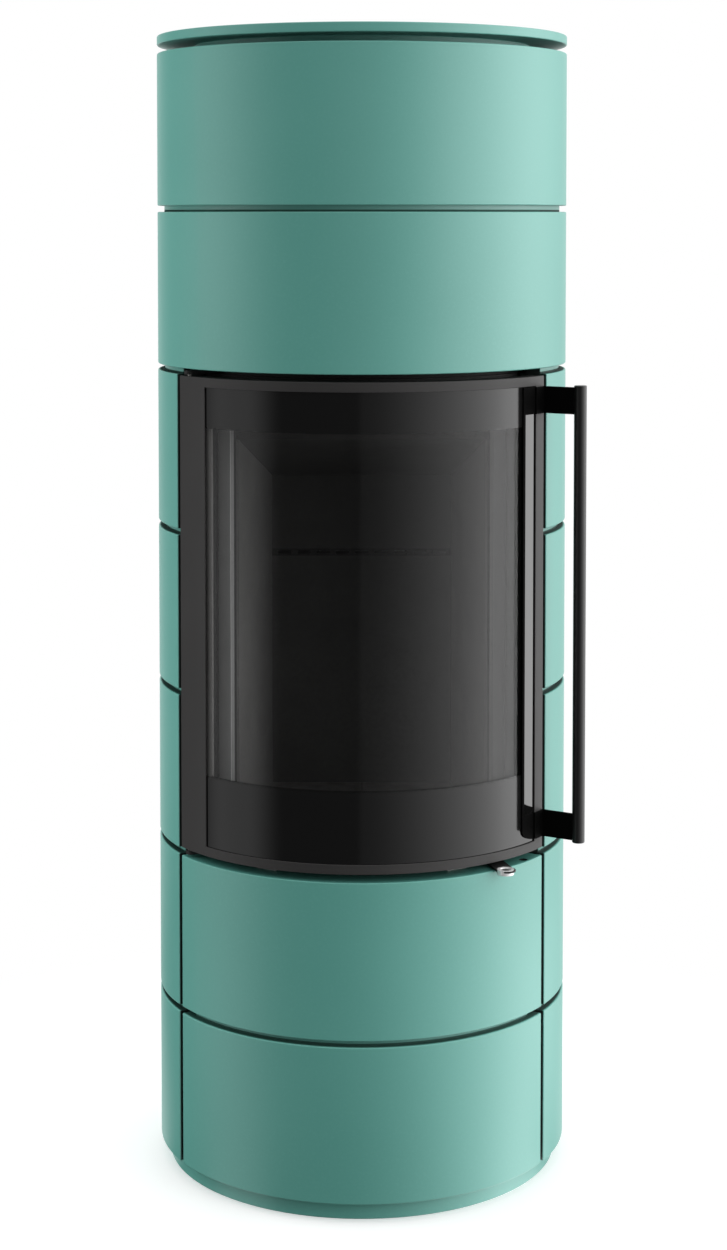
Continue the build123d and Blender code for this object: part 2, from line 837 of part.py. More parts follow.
def make_rope_channel():
    """Two ribs on the inner plate that hold the rope gasket between them."""
    inner = door_inner_radius - channel_depth
    start = flange_half_angle + rib_angle
    end = gasket_end + rib_angle
    inner_rib = curved_frame(inner, door_inner_radius, flange_window_low - channel_rib,
                             flange_window_high + channel_rib, -start, start, rib_angle, channel_rib)
    outer_rib = curved_frame(inner, door_inner_radius, gasket_low - channel_rib,
                             gasket_high + channel_rib, -end, end, rib_angle, channel_rib)
    return Compound([inner_rib, outer_rib])


def make_door_gasket():
    """The rope that seals the door on the front frame."""
    return curved_frame(tile_inner_radius + gasket_clearance, door_inner_radius, gasket_low, gasket_high,
                        -gasket_end, gasket_end, gasket_angle, gasket_width)


# ---- hinge ----
hinge_x, hinge_y, _ = polar(hinge_radius, hinge_angle)


def make_hinge_bushes():
    """A bush in the foot and in the head of the door's left stile."""
    inner = hinge_pin_radius + hinge_running_gap
    bushes = []
    for low in (door_low, door_high - hinge_bush_length):
        high = low + hinge_bush_length
        bush = upright(inner + bush_wall, low, high, hinge_x, hinge_y)
        bushes.append(bush - upright(inner, low - past, high + past, hinge_x, hinge_y))
    return Compound(bushes)


def make_hinge_brackets():
    """Steel tongues above and below the door that carry the hinge pins."""
    brackets = []
    for low in (frame_low - bracket_thickness, frame_high):
        high = low + bracket_thickness
        width = 2 * bracket_half_width
        tongue = radial_block(casing_inner_radius, hinge_radius, width, low, high, hinge_angle)
        tongue += upright(bracket_half_width, low, high, hinge_x, hinge_y)
        tongue -= upright(casing_outer_radius, low - past, high + past)
        brackets.append(tongue - upright(hinge_pin_radius, low - past, high + past, hinge_x, hinge_y))
    return Compound(brackets)


def make_hinge_pins():
    """The lower pin has a shoulder that the door rides on."""
    lower_end, upper_end = frame_low - bracket_thickness, frame_high + bracket_thickness
    lower = upright(hinge_pin_radius, lower_end, door_low + hinge_pin_length, hinge_x, hinge_y)
    lower += upright(hinge_shoulder_radius, frame_low, door_low - hinge_shoulder_gap, hinge_x, hinge_y)
    upper = upright(hinge_pin_radius, door_high - hinge_pin_length, upper_end, hinge_x, hinge_y)
    return Compound([lower, upper])


# ---- latch ----
roller_angle = gasket_end + arc_angle(latch_side_gap + latch_plate_width / 2, tile_inner_radius)
roller_x, roller_y, _ = polar(roller_centre_radius, roller_angle)
ear_low = latch_level - roller_height / 2 - roller_gap - latch_ear
ear_high = latch_level + roller_height / 2 + roller_gap


def make_latch_bracket():
    """A small bracket on the front frame whose ears hold the roller's pin."""
    spread = arc_angle(latch_plate_width / 2, tile_inner_radius)
    low, high = ear_low - latch_plate_margin, ear_high + latch_ear + latch_plate_margin
    plate_outer = tile_inner_radius + latch_plate
    bracket = band(tile_inner_radius, plate_outer, low, high, roller_angle - spread, roller_angle + spread)
    for low in (ear_low, ear_high):
        high = low + latch_ear
        ear = radial_block(plate_outer - latch_plate / 2, roller_centre_radius, latch_ear_width, low, high,
                           roller_angle)
        ear += upright(latch_ear_width / 2, low, high, roller_x, roller_y)
        bracket += ear - upright(roller_pin_radius, low - past, high + past, roller_x, roller_y)
    return bracket


def make_roller_pin():
    """The pin that the latch roller spins on."""
    return upright(roller_pin_radius, ear_low, ear_high + latch_ear, roller_x, roller_y)


def make_latch_roller():
    """The roller that the strike rides over."""
    low, high = latch_level - roller_height / 2, latch_level + roller_height / 2
    bore = roller_pin_radius + hinge_running_gap
    roller = upright(roller_radius, low, high, roller_x, roller_y)
    return roller - upright(bore, low - past, high + past, roller_x, roller_y)


def make_latch_strike():
    """A tongue on the door that passes just outside the roller as the door closes."""
    across, along = roller_x - hinge_x, roller_y - hinge_y
    heading = degrees(asin(along / hypot(across, along)))
    reach = hypot(across, along) + roller_radius + roller_gap + strike_thickness / 2
    x, y = hinge_x + reach * cos(radians(heading)), hinge_y + reach * sin(radians(heading))
    front = -sqrt(door_inner_radius ** 2 - x ** 2)
    plate = Box(strike_thickness, 2 * door_depth, strike_height)
    tongue = Pos(x, y, latch_level) * Rot(0, 0, heading) * plate
    tongue = tongue & block(0, outer_radius, -outer_radius, front + strike_length, 0, overall_height)
    return tongue & upright(door_inner_radius, 0, overall_height)


# ---- handle ----
def make_handle_frame():
    """A bent plate: a strip beside the glass, and two arms that turn outwards to the bar."""
    outer = outer_radius + handle_plate
    strip_end = handle_strip_angle + arc_angle(handle_strip_width, outer)
    frame = band(outer_radius, outer, handle_low, handle_high, handle_strip_angle, strip_end)
    bar_x, bar_y, _ = polar(handle_bar_place, handle_angle)
    arm_angle = handle_angle - arc_angle(handle_plate / 2, handle_bar_place)
    for low in (handle_low, handle_high - handle_arm_height):
        high = low + handle_arm_height
        frame += band(outer_radius, outer, low, high, handle_strip_angle, handle_angle)
        arm = radial_block(skin_inner_radius, handle_bar_place, handle_plate, low, high, arm_angle)
        frame += arm - upright(outer_radius, 0, overall_height)
    return frame - upright(handle_bar_radius, 0, overall_height, bar_x, bar_y)


def make_handle_bar():
    """The round bar that the hand takes."""
    low, high = handle_low - handle_bar_overhang, handle_high + handle_bar_overhang
    x, y, _ = polar(handle_bar_place, handle_angle)
    bar = upright(handle_bar_radius, low, high, x, y)
    return chamfer(bar.edges().filter_by(GeomType.CIRCLE), handle_bar_chamfer)


# ---- every sub-part, by name ----
parts["plinth"] = make_plinth()
for row in range(1, side_rows + 1):
    parts[f"right_tile_row_{row}"] = make_side_tile(row, side_start_angle, side_end_angle)
    parts[f"left_tile_row_{row}"] = make_side_tile(row, -side_end_angle, -side_start_angle)
for row in range(1, base_rows + 1):
    parts[f"front_tile_row_{row}"] = make_front_tile(row)
for row in range(side_rows + 1, row_count + 1):
    parts[f"tile_ring_row_{row}"] = make_ring(row)
parts["top_plate"] = make_top_plate()
parts["tile_clips"] = make_tile_clips()
parts["body_casing"] = make_body_casing()
parts["front_frame"] = make_front_frame()
parts["firebox_floor"] = make_firebox_floor()
parts["firebox_roof"] = make_firebox_roof()
parts["floor_lining"] = make_floor_lining()
parts["grate"] = make_grate()
parts["ash_box"] = make_ash_box()
parts["ash_pan"] = make_ash_pan()
parts["back_lining_lower"] = make_back_lining(hearth_low, nozzle_low)
parts["back_lining_upper"] = make_back_lining(nozzle_high, back_high + lining)
parts["nozzle_bar"] = make_nozzle_bar()
parts["left_lining"] = make_side_lining(-1)
parts["right_lining"] = make_side_lining(1)
parts["lower_baffle"] = make_lower_baffle()
parts["upper_baffle"] = make_upper_baffle()
parts["baffle_hangers"] = make_baffle_hangers()
parts["rear_air_channel"] = make_rear_channel()
parts["air_wash_channel"] = make_wash_channel()
parts["log_guard"] = make_log_guard()
parts["storage_blocks"] = make_storage_blocks()
parts["flue_pipe"] = make_flue_pipe()
parts["air_duct"] = make_air_duct()
parts["air_box"] = make_air_box()
parts["slide_guides"] = make_slide_guides()
parts["air_rod"] = make_air_rod()
parts["air_knob"] = make_air_knob()
parts["air_shutter"] = make_air_shutter()
parts["hinge_brackets"] = make_hinge_brackets()
parts["hinge_pins"] = make_hinge_pins()
parts["hinge_bushes"] = make_hinge_bushes()
parts["latch_bracket"] = make_latch_bracket()
parts["roller_pin"] = make_roller_pin()
parts["latch_roller"] = make_latch_roller()
parts["latch_strike"] = make_latch_strike()
parts["door_frame"] = make_door_frame()
parts["door_flange"] = make_door_flange()
parts["rope_channel"] = make_rope_channel()
parts["door_gasket"] = make_door_gasket()
parts["door_glass"] = make_door_glass()
parts["glass_gasket"] = make_glass_gasket()
parts["glass_retainer"] = make_glass_retainer()
parts["handle_frame"] = make_handle_frame()
parts["handle_bar"] = make_handle_bar()

os.makedirs("parts", exist_ok=True)
for name, shape in parts.items():
    export_step(shape, f"parts/{name}.step")
print(len(parts), "sub-parts written")
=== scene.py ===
import bpy
import bmesh
import json
import math
from mathutils import Matrix, Vector


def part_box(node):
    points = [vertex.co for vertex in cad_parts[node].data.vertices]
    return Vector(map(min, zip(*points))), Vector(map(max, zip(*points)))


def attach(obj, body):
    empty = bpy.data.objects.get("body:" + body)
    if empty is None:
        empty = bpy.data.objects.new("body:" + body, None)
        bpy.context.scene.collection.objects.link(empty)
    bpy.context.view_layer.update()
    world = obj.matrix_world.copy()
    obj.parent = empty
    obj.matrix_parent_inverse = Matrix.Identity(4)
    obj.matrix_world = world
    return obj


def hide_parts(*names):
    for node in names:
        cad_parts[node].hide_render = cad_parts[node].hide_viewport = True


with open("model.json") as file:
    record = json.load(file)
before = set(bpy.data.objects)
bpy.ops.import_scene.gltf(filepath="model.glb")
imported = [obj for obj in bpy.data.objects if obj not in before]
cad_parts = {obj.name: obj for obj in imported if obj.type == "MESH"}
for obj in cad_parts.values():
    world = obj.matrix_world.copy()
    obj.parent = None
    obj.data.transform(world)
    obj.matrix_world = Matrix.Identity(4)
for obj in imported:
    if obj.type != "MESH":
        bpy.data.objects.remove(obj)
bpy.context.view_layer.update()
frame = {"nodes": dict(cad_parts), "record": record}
nodes = frame["nodes"]
print("frame loaded:", len(nodes), "nodes")

# Metres throughout. The front of the stove faces -Y, and angles run round its axis from the
# front, in degrees, towards +X.


def polar(radius, angle, z=0.0):
    a = math.radians(angle)
    return Vector((radius * math.sin(a), -radius * math.cos(a), z))


# the angle that a length takes up on a circle
def arc(length, radius):
    return math.degrees(length / radius)


def heights(node):
    low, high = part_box(node)
    return low.z, high.z


def joined(name, data):
    piece = bpy.data.objects.new(name, data)
    bpy.context.scene.collection.objects.link(piece)
    return piece


# one output socket of a shader; sums on it become Math nodes
class Wire:
    def __init__(self, finish, socket):
        self.finish = finish
        self.socket = socket

    def maths(self, operation, *values, clamp=False):
        made = self.finish.node("ShaderNodeMath", {"operation": operation, "use_clamp": clamp},
                                dict(enumerate(values)))
        return Wire(self.finish, made.outputs[0])

    def __add__(self, other):
        return self.maths("ADD", self, other)

    def __sub__(self, other):
        return self.maths("SUBTRACT", self, other)

    def __rsub__(self, other):
        return self.maths("SUBTRACT", other, self)

    def __mul__(self, other):
        return self.maths("MULTIPLY", self, other)

    def __truediv__(self, other):
        return self.maths("DIVIDE", self, other)

    def __rtruediv__(self, other):
        return self.maths("DIVIDE", other, self)

    def __pow__(self, other):
        return self.maths("POWER", self, other)

    __radd__ = __add__
    __rmul__ = __mul__

    def clamped(self):
        return self.maths("ADD", self, 0.0, clamp=True)

    def above(self, edge):
        return self.maths("GREATER_THAN", self, edge)

    def size(self):
        return self.maths("ABSOLUTE", self)

    def whole(self):
        return self.maths("FLOOR", self)

    def largest(self, other):
        return self.maths("MAXIMUM", self, other)

    # 0 below low, 1 above high, with a soft change between
    def rise(self, low, high):
        return self.finish.wire("ShaderNodeMapRange", {"interpolation_type": "SMOOTHSTEP"},
                                {"Value": self, "From Min": low, "From Max": high}, out="Result")

    # 1 below low and above high, 0 between, with a soft change at both
    def outside(self, low, high, soft):
        return (1 - self.rise(low - soft, low + soft)).largest(self.rise(high - soft, high + soft))


# a material under construction, or the world's shader when its tree is given
class Finish:
    def __init__(self, name, tree=None):
        self.material = None
        if tree is None:
            self.material = bpy.data.materials.new(name)
            self.material.use_nodes = True
            tree = self.material.node_tree
        self.tree = tree
        self.tree.nodes.clear()

    def node(self, kind, settings=None, sockets=None):
        made = self.tree.nodes.new(kind)
        for key, value in (settings or {}).items():
            setattr(made, key, value)
        for key, value in (sockets or {}).items():
            if isinstance(value, Wire):
                self.tree.links.new(value.socket, made.inputs[key])
            elif isinstance(value, tuple):  # a colour
                made.inputs[key].default_value = (*value, 1.0)
            else:
                made.inputs[key].default_value = value
        return made

    def wire(self, kind, settings=None, sockets=None, out=0):
        return Wire(self, self.node(kind, settings, sockets).outputs[out])

    def place(self):
        return self.wire("ShaderNodeTexCoord", out="Object")

    def axes(self, vector=None):
        made = self.node("ShaderNodeSeparateXYZ", None, {"Vector": vector or self.place()})
        return [Wire(self, made.outputs[i]) for i in range(3)]

    def vector(self, x, y, z):
        return self.wire("ShaderNodeCombineXYZ", None, {"X": x, "Y": y, "Z": z})

    def dot(self, first, second):
        return self.wire("ShaderNodeVectorMath", {"operation": "DOT_PRODUCT"},
                         {0: first, 1: second}, out="Value")

    def noise(self, scale, seed, detail=2.0, rough=0.5, vector=None):
        return self.wire("ShaderNodeTexNoise", {"noise_dimensions": "4D"},
                         {"Vector": vector or self.place(), "W": seed, "Scale": scale,
                          "Detail": detail, "Roughness": rough}, out="Fac")

    def cells(self, scale, out="Distance"):
        return self.wire("ShaderNodeTexVoronoi", None, {"Vector": self.place(), "Scale": scale},
                         out=out)

    # one random value for each cell
    def cellValue(self, scale):
        return self.wire("ShaderNodeSeparateColor", None, {"Color": self.cells(scale, "Color")})

    def mix(self, factor, first, second):
        made = self.node("ShaderNodeMix", {"data_type": "RGBA"}, {0: factor, 6: first, 7: second})
        return Wire(self, made.outputs[2])

    def bump(self, height, strength, distance, normal=None):
        sockets = {"Height": height, "Strength": strength, "Distance": distance}
        if normal is not None:
            sockets["Normal"] = normal
        return self.wire("ShaderNodeBump", None, sockets, out="Normal")

    def surface(self, **sockets):
        named = {key.replace("_", " "): value for key, value in sockets.items()}
        return self.wire("ShaderNodeBsdfPrincipled", None, named)

    def blend(self, factor, first, second):
        return self.wire("ShaderNodeMixShader", None, {0: factor, 1: first, 2: second})

    def glow(self, kind, strength):
        return self.wire(kind, None, {"Color": (1.0, 1.0, 1.0), "Strength": strength})

    def done(self, shader):
        self.node("ShaderNodeOutputMaterial", None, {"Surface": shader})
        return self.material


# distance from the axis
def radiusOf(x, y):
    return (x * x + y * y) ** 0.5


# direction round the axis, in degrees from the front
def turnOf(x, y):
    return x.maths("ARCTAN2", x, 0.0 - y) * math.degrees(1.0)


def toMesh(name, made):
    bmesh.ops.recalc_face_normals(made, faces=made.faces)
    mesh = bpy.data.meshes.new(name)
    made.to_mesh(mesh)
    made.free()
    return mesh


def roundEdges(piece, width, segments=3, limit=32):
    rounding = piece.modifiers.new("edgeRounding", "BEVEL")
    rounding.width = width
    rounding.segments = segments
    rounding.limit_method = "ANGLE"
    rounding.angle_limit = math.radians(limit)
    rounding.harden_normals = True
    rounding.use_clamp_overlap = True


def meshPiece(name, made, material, body, replaces=(), bevel=None, segments=3):
    mesh = toMesh(name, made)
    piece = joined(name, mesh)
    mesh.materials.append(material)
    mesh.polygons.foreach_set("use_smooth", [True] * len(mesh.polygons))
    if bevel:
        roundEdges(piece, bevel, segments)
    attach(piece, body)
    if replaces:
        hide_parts(*replaces)
    return piece


# takes a cutter away from a piece for good, and gives what is left these materials
def cutAway(piece, cutterName, made, *materials):
    cutter = joined(cutterName, toMesh(cutterName, made))
    cut = piece.modifiers.new("cut", "BOOLEAN")
    cut.object = cutter
    cut.solver = "EXACT"
    depsgraph = bpy.context.evaluated_depsgraph_get()
    mesh = bpy.data.meshes.new_from_object(piece.evaluated_get(depsgraph))
    piece.modifiers.remove(cut)
    piece.data = mesh
    bpy.data.objects.remove(cutter)
    mesh.materials.clear()
    for material in materials:
        mesh.materials.append(material)


def anglesBetween(start, end, step):
    count = max(1, round((end - start) / step))
    return [start + (end - start) * i / count for i in range(count + 1)]


# joins rings of points by faces, each ring to the next
def bridge(made, rings):
    count = len(rings[0])
    for near, far in zip(rings, rings[1:]):
        for i in range(count):
            j = (i + 1) % count
            made.faces.new((near[i], near[j], far[j], far[i]))


def closeEnds(made, rings):
    made.faces.new(list(reversed(rings[0])))
    made.faces.new(rings[-1])


# sweeps a closed outline of (radius, height) round a vertical axis at (x, y)
def sweep(made, outline, step, start=0.0, end=360.0, x=0.0, y=0.0):
    whole = end - start > 359.9
    turns = anglesBetween(start, end, step)
    if whole:
        turns = turns[:-1]
    rings = []
    for turn in turns:
        rings.append([made.verts.new(polar(r, turn, z) + Vector((x, y, 0))) for r, z in outline])
    for near, far in zip(rings, rings[1:] + (rings[:1] if whole else [])):
        for i in range(len(outline)):
            j = (i + 1) % len(outline)
            made.faces.new((near[i], far[i], far[j], near[j]))
    if not whole:
        made.faces.new(rings[0])
        made.faces.new(list(reversed(rings[-1])))


# turns an open outline of (radius, height) into a solid of revolution closed at both ends
def lathe(made, outline, step, x=0.0, y=0.0):
    turns = anglesBetween(0.0, 360.0, step)[:-1]
    rings = []
    for r, z in outline:
        rings.append([made.verts.new(polar(r, turn, z) + Vector((x, y, 0))) for turn in turns])
    bridge(made, rings)
    closeEnds(made, rings)


# a thick curved plate with windows given as (start angle, end angle, low, high)
def curvedPlate(made, inner, outer, low, high, start, end, windows=(), step=1.5):
    turns = set(anglesBetween(start, end, step))
    levels = {low, high}
    for a, b, c, d in windows:
        turns |= {a, b}
        levels |= {c, d}
    turns = sorted(turns)
    kept = [turns[0]]
    exact = {start, end} | {w[i] for w in windows for i in (0, 1)}
    crowded = 0.25 * step
    for turn in turns[1:]:
        if turn - kept[-1] < crowded and turn not in exact:
            continue
        if turn - kept[-1] < crowded and kept[-1] not in exact:
            kept.pop()
        kept.append(turn)
    levels = sorted(levels)
    corners = {}

    def corner(i, j, side):
        if (i, j, side) not in corners:
            corners[i, j, side] = made.verts.new(polar((inner, outer)[side], kept[i], levels[j]))
        return corners[i, j, side]

    def solid(i, j):
        if not (0 <= i < len(kept) - 1 and 0 <= j < len(levels) - 1):
            return False
        turn, level = (kept[i] + kept[i + 1]) / 2, (levels[j] + levels[j + 1]) / 2
        return not any(a < turn < b and c < level < d for a, b, c, d in windows)

    for i in range(len(kept) - 1):
        for j in range(len(levels) - 1):
            if not solid(i, j):
                continue
            for side in (0, 1):
                made.faces.new([corner(i, j, side), corner(i + 1, j, side),
                                corner(i + 1, j + 1, side), corner(i, j + 1, side)])
            edges = (((i - 1, j), (i, j), (i, j + 1)), ((i + 1, j), (i + 1, j), (i + 1, j + 1)),
                     ((i, j - 1), (i, j), (i + 1, j)), ((i, j + 1), (i, j + 1), (i + 1, j + 1)))
            for beside, p, q in edges:
                if not solid(*beside):
                    made.faces.new([corner(*p, 0), corner(*q, 0), corner(*q, 1), corner(*p, 1)])


# a block whose local axes are turned about Z, given by its middle and its sizes
def turnedBlock(made, middle, sizes, angle):
    turn = Matrix.Translation(middle) @ Matrix.Rotation(math.radians(angle), 4, "Z")
    bmesh.ops.create_cube(made, size=1.0, matrix=turn @ Matrix.Diagonal((*sizes, 1.0)))


# a course of tiles: the upright joints stand at sideJoint either side of the front, and each
# tile has a neck on top that locks into the groove of the next one; the lowest front tile's
# neck stops neckInset short of its ends
tile = dict(wall=0.038, joint=0.008, sideJoint=60.0, lock=0.003, neckRecess=0.009, neckWall=0.021,
            neckInto=0.004, neckInset=0.020, groove=0.001, edge=0.0018, step=1.5)

# mottle, fleck, peel and hollow are strengths; jointShadeAt, footAt and ledgeAt are distances from
# the axis, over which each band of painted shade in the joints ends
glaze = dict(colour=(0.118, 0.392, 0.336), deep=(0.104, 0.364, 0.310), thin=(0.140, 0.417, 0.366),
             mottle=0.35, fleck=0.10, peel=0.05, hollow=0.10, roughness=0.40, roughSpread=0.10,
             ior=1.72, edgeRadius=0.0022, edgeWear=0.5,
             jointShade=(0.012, 0.020, 0.018), jointShadeAt=(0.254, 0.2635), jointShadeBetween=(0.0245, 1.462),
             shade=(0.015, 0.080, 0.062), sideShade=(0.002, 0.030, 0.023), dull=0.45,
             footAt=(0.2612, 0.2635), footHigh=0.0020, ledgeAt=(0.2665, 0.2685), soft=0.001,
             openWithin=0.01, facingUp=(0.6, 0.8), facingAside=(0.55, 0.85))


def makeGlaze():
    f = Finish("greenGlaze")
    x, y, z = f.axes()
    # slow drifts in the glaze's depth, then the fine mottle of fired pigment
    drift = f.noise(scale=3.1, seed=1.3).rise(0.3, 0.7)
    mottle = f.noise(scale=260.0, detail=3.0, rough=0.6, seed=4.1)
    fleck = f.cells(scale=900.0).rise(0.06, 0.16)
    colour = f.mix(drift, glaze["deep"], glaze["colour"])
    colour = f.mix(mottle.rise(0.45, 0.75) * glaze["mottle"], colour, glaze["thin"])
    colour = f.mix((1 - fleck) * glaze["fleck"], colour, glaze["deep"])
    # the glaze draws thin over an outer edge
    edge = f.wire("ShaderNodeBevel", {"samples": 4}, {"Radius": glaze["edgeRadius"]}, out="Normal")
    flat = f.wire("ShaderNodeNewGeometry", out="Normal")
    worn = (1 - f.dot(edge, flat)).rise(0.01, 0.12) * glaze["edgeWear"]
    colour = f.mix(worn, colour, glaze["thin"])
    # deep in the joints, and on the ends of the tiles, the colour goes near black: painted shade
    away = radiusOf(x, y)
    depth = 1 - away.rise(*glaze["jointShadeAt"])
    upward = f.axes(flat)[2]
    upright = 1 - upward.size().rise(*glaze["facingUp"])
    low, high = glaze["jointShadeBetween"]
    between = z.above(low) * (1 - z.above(high))
    outward = f.wire("ShaderNodeVectorMath", {"operation": "NORMALIZE"}, {0: f.vector(x, y, 0.0)})
    sideways = (1 - f.dot(outward, flat).size()).rise(*glaze["facingAside"])
    # the foot of each neck and the ledge round it get painted shade, darker on the side tiles than
    # in front, and a duller finish, but not the ledge of the front tile under the door, which lies
    # open
    rowLow, nextLow = heights("tile_ring_row_6")[0], heights("tile_ring_row_7")[0]
    rowHeight = nextLow - rowLow
    rows = (z - rowLow) / rowHeight
    climb = (rows - rows.whole()) * rowHeight
    footTop = rowHeight - tile["joint"] + glaze["footHigh"]
    foot = (1 - away.rise(*glaze["footAt"])) * (1 - climb.rise(footTop, footTop + glaze["soft"]))
    foot = foot * climb.above(footTop - glaze["footHigh"] - glaze["soft"]) * upright
    inFront = 1 - turnOf(x, y).size().above(tile["sideJoint"])
    openTop = heights("front_tile_row_2")[1]
    shown = inFront * (1 - (z - openTop).size().above(glaze["openWithin"]))
    ledge = (1 - away.rise(*glaze["ledgeAt"])) * upward.rise(*glaze["facingUp"]) * (1 - shown)
    shaded = foot.largest(ledge) * between
    # painted shade at the neck's foot and ledge, darker beside than in front
    colour = f.mix(shaded, colour, f.mix(inFront, glaze["sideShade"], glaze["shade"]))
    # the near-black painted shade of the joints and the tile ends
    colour = f.mix(depth.largest(sideways) * upright * between, colour, glaze["jointShade"])
    # orange peel, and the long shallow hollows left by the mould
    peel = f.noise(scale=420.0, detail=1.0, seed=2.0)
    hollow = f.noise(scale=7.0, detail=1.0, seed=7.0)
    relief = f.bump(peel, glaze["peel"], distance=0.0004)
    relief = f.bump(hollow, glaze["hollow"], distance=0.004, normal=relief)
    rough = glaze["roughness"] + mottle * glaze["roughSpread"] - glaze["roughSpread"] / 2
    rough = rough + shaded * glaze["dull"]
    return f.done(f.surface(Base_Color=colour, Roughness=rough, IOR=glaze["ior"], Normal=relief))


paints = dict(
    doorPaint=dict(colour=(0.030, 0.029, 0.029), pale=(0.044, 0.042, 0.041), roughness=0.50,
                   grain=1500.0, sheen=0.40),
    handlePaint=dict(colour=(0.002, 0.002, 0.002), pale=(0.005, 0.005, 0.005), roughness=0.60,
                     grain=1700.0, sheen=0.02),
    tubePaint=dict(colour=(0.006, 0.006, 0.006), pale=(0.011, 0.011, 0.011), roughness=0.36,
                   grain=1700.0, sheen=0.62),
    blackSteel=dict(colour=(0.016, 0.016, 0.016), pale=(0.030, 0.029, 0.028), roughness=0.6,
                    grain=900.0, sheen=0.4))
sprayed = dict(grain=0.6, cloud=0.25, grainRough=0.16, cloudRough=0.08, relief=0.12)


# matt stove paint, sprayed, with a fine dry grain
def makePaint(name, look):
    f = Finish(name)
    grain = f.noise(look["grain"], rough=0.7, seed=3.0)
    cloud = f.noise(scale=14.0, detail=3.0, seed=5.0)
    colour = f.mix(grain.rise(0.35, 0.75) * sprayed["grain"], look["colour"], look["pale"])
    colour = f.mix(cloud.rise(0.45, 0.8) * sprayed["cloud"], colour, look["pale"])
    rough = look["roughness"] + (grain - 0.5) * sprayed["grainRough"]
    rough = rough + (cloud - 0.5) * sprayed["cloudRough"]
    relief = f.bump(grain, sprayed["relief"], distance=0.0002)
    return f.done(f.surface(Base_Color=colour, Roughness=rough, Specular_IOR_Level=look["sheen"],
                            Normal=relief))


# the second board is a darker copy of the first, for the back lining and baffles: painted shade
bricks = dict(
    firebrick=dict(colour=(0.195, 0.193, 0.188), pale=(0.255, 0.252, 0.244),
                   soot=(0.120, 0.118, 0.114), relief=0.25),
    shadedBrick=dict(colour=(0.074, 0.073, 0.071), pale=(0.088, 0.087, 0.084),
                     soot=(0.042, 0.041, 0.040), relief=0.06))
burnt = dict(chips=0.20, chipRelief=0.3, smoke=0.5, high=0.35, highAt=(0.60, 0.95), roughness=0.9)


# pressed vermiculite board, greyed and sooted by the fire, most of all at the top
def makeBrick(name, look):
    f = Finish(name)
    z = f.axes()[2]
    chips = f.cellValue(scale=420.0)
    grain = f.noise(scale=180.0, detail=4.0, rough=0.65, seed=6.0)
    colour = f.mix(grain.rise(0.3, 0.7), look["colour"], look["pale"])
    colour = f.mix(chips * burnt["chips"], colour, look["pale"])
    smoke = f.noise(scale=5.0, detail=4.0, rough=0.6, seed=9.0)
    soot = smoke.rise(0.35, 0.7) * burnt["smoke"] + z.rise(*burnt["highAt"]) * burnt["high"]
    colour = f.mix(soot.clamped(), colour, look["soot"])
    relief = f.bump(grain + chips * burnt["chipRelief"], look["relief"], distance=0.0005)
    return f.done(f.surface(Base_Color=colour, Roughness=burnt["roughness"], Normal=relief))


hearth = dict(colour=(0.150, 0.146, 0.138), ash=(0.200, 0.196, 0.190),
              clinker=(0.050, 0.048, 0.046), grit=0.7, gritRelief=0.4, relief=0.8, roughness=0.95)


# the hearth under its dusting of pale ash
def makeHearth():
    f = Finish("hearth")
    lumps = f.noise(scale=38.0, detail=5.0, rough=0.7, seed=3.0)
    grit = f.noise(scale=240.0, detail=4.0, rough=0.7, seed=5.0)
    colour = f.mix(lumps.rise(0.40, 0.62), hearth["colour"], hearth["ash"])
    colour = f.mix(grit.rise(0.58, 0.74) * hearth["grit"], colour, hearth["clinker"])
    relief = f.bump(lumps + grit * hearth["gritRelief"], hearth["relief"], distance=0.004)
    return f.done(f.surface(Base_Color=colour, Roughness=hearth["roughness"], Normal=relief))


iron = dict(colour=(0.022, 0.021, 0.020), rust=(0.060, 0.036, 0.022), rusty=0.6,
            roughness=0.62, roughSpread=0.25, metal=0.35, relief=0.45)


def makeIron():
    f = Finish("castIron")
    grit = f.noise(scale=300.0, detail=4.0, rough=0.7, seed=1.0)
    patch = f.noise(scale=24.0, detail=4.0, rough=0.6, seed=2.0)
    colour = f.mix(patch.rise(0.55, 0.8) * iron["rusty"], iron["colour"], iron["rust"])
    rough = iron["roughness"] + (grit - 0.5) * iron["roughSpread"]
    relief = f.bump(grit, iron["relief"], distance=0.0006)
    return f.done(f.surface(Base_Color=colour, Metallic=iron["metal"], Roughness=rough,
                            Normal=relief))


sheets = dict(sheetSteel=dict(colour=(0.42, 0.43, 0.42), roughness=0.46, spangle=90.0),
              brightSteel=dict(colour=(0.56, 0.55, 0.53), roughness=0.28, spangle=400.0))
rolled = dict(across=40, upright=900, patches=0.25, darker=0.6, lineRough=0.2, patchRough=0.08,
              relief=0.06)


# zinced or rolled sheet, with rolling lines and a soft spangle
def makeSheet(name, look):
    f = Finish(name)
    x, y, z = f.axes()
    along = f.vector(x * rolled["across"], y * rolled["across"], z * rolled["upright"])
    lines = f.noise(scale=1.0, detail=3.0, vector=along, seed=3.0)
    patch = f.cellValue(look["spangle"])
    darker = tuple(c * rolled["darker"] for c in look["colour"])
    tone = f.mix(patch * rolled["patches"], look["colour"], darker)
    rough = look["roughness"] + (lines - 0.5) * rolled["lineRough"]
    rough = rough + (patch - 0.5) * rolled["patchRough"]
    relief = f.bump(lines, rolled["relief"], distance=0.0002)
    return f.done(f.surface(Base_Color=tone, Metallic=1.0, Roughness=rough, Normal=relief))


# faceAt is the distance from the axis at which the inner edge becomes the face, rightShadeAt the
# span in x over which the painted shade on the right sets in, foot and head where the black paint
# ends
frameCoat = dict(colour=(0.800, 0.810, 0.804), worn=(0.740, 0.750, 0.744),
                 rightShade=(0.155, 0.158, 0.155), edge=(0.330, 0.337, 0.333),
                 black=(0.010, 0.010, 0.010), roughness=0.5, roughSpread=0.15, relief=0.1,
                 faceAt=(0.2309, 0.2316), rightShadeAt=(-0.06, 0.10), foot=0.462, head=1.012,
                 soft=0.002)
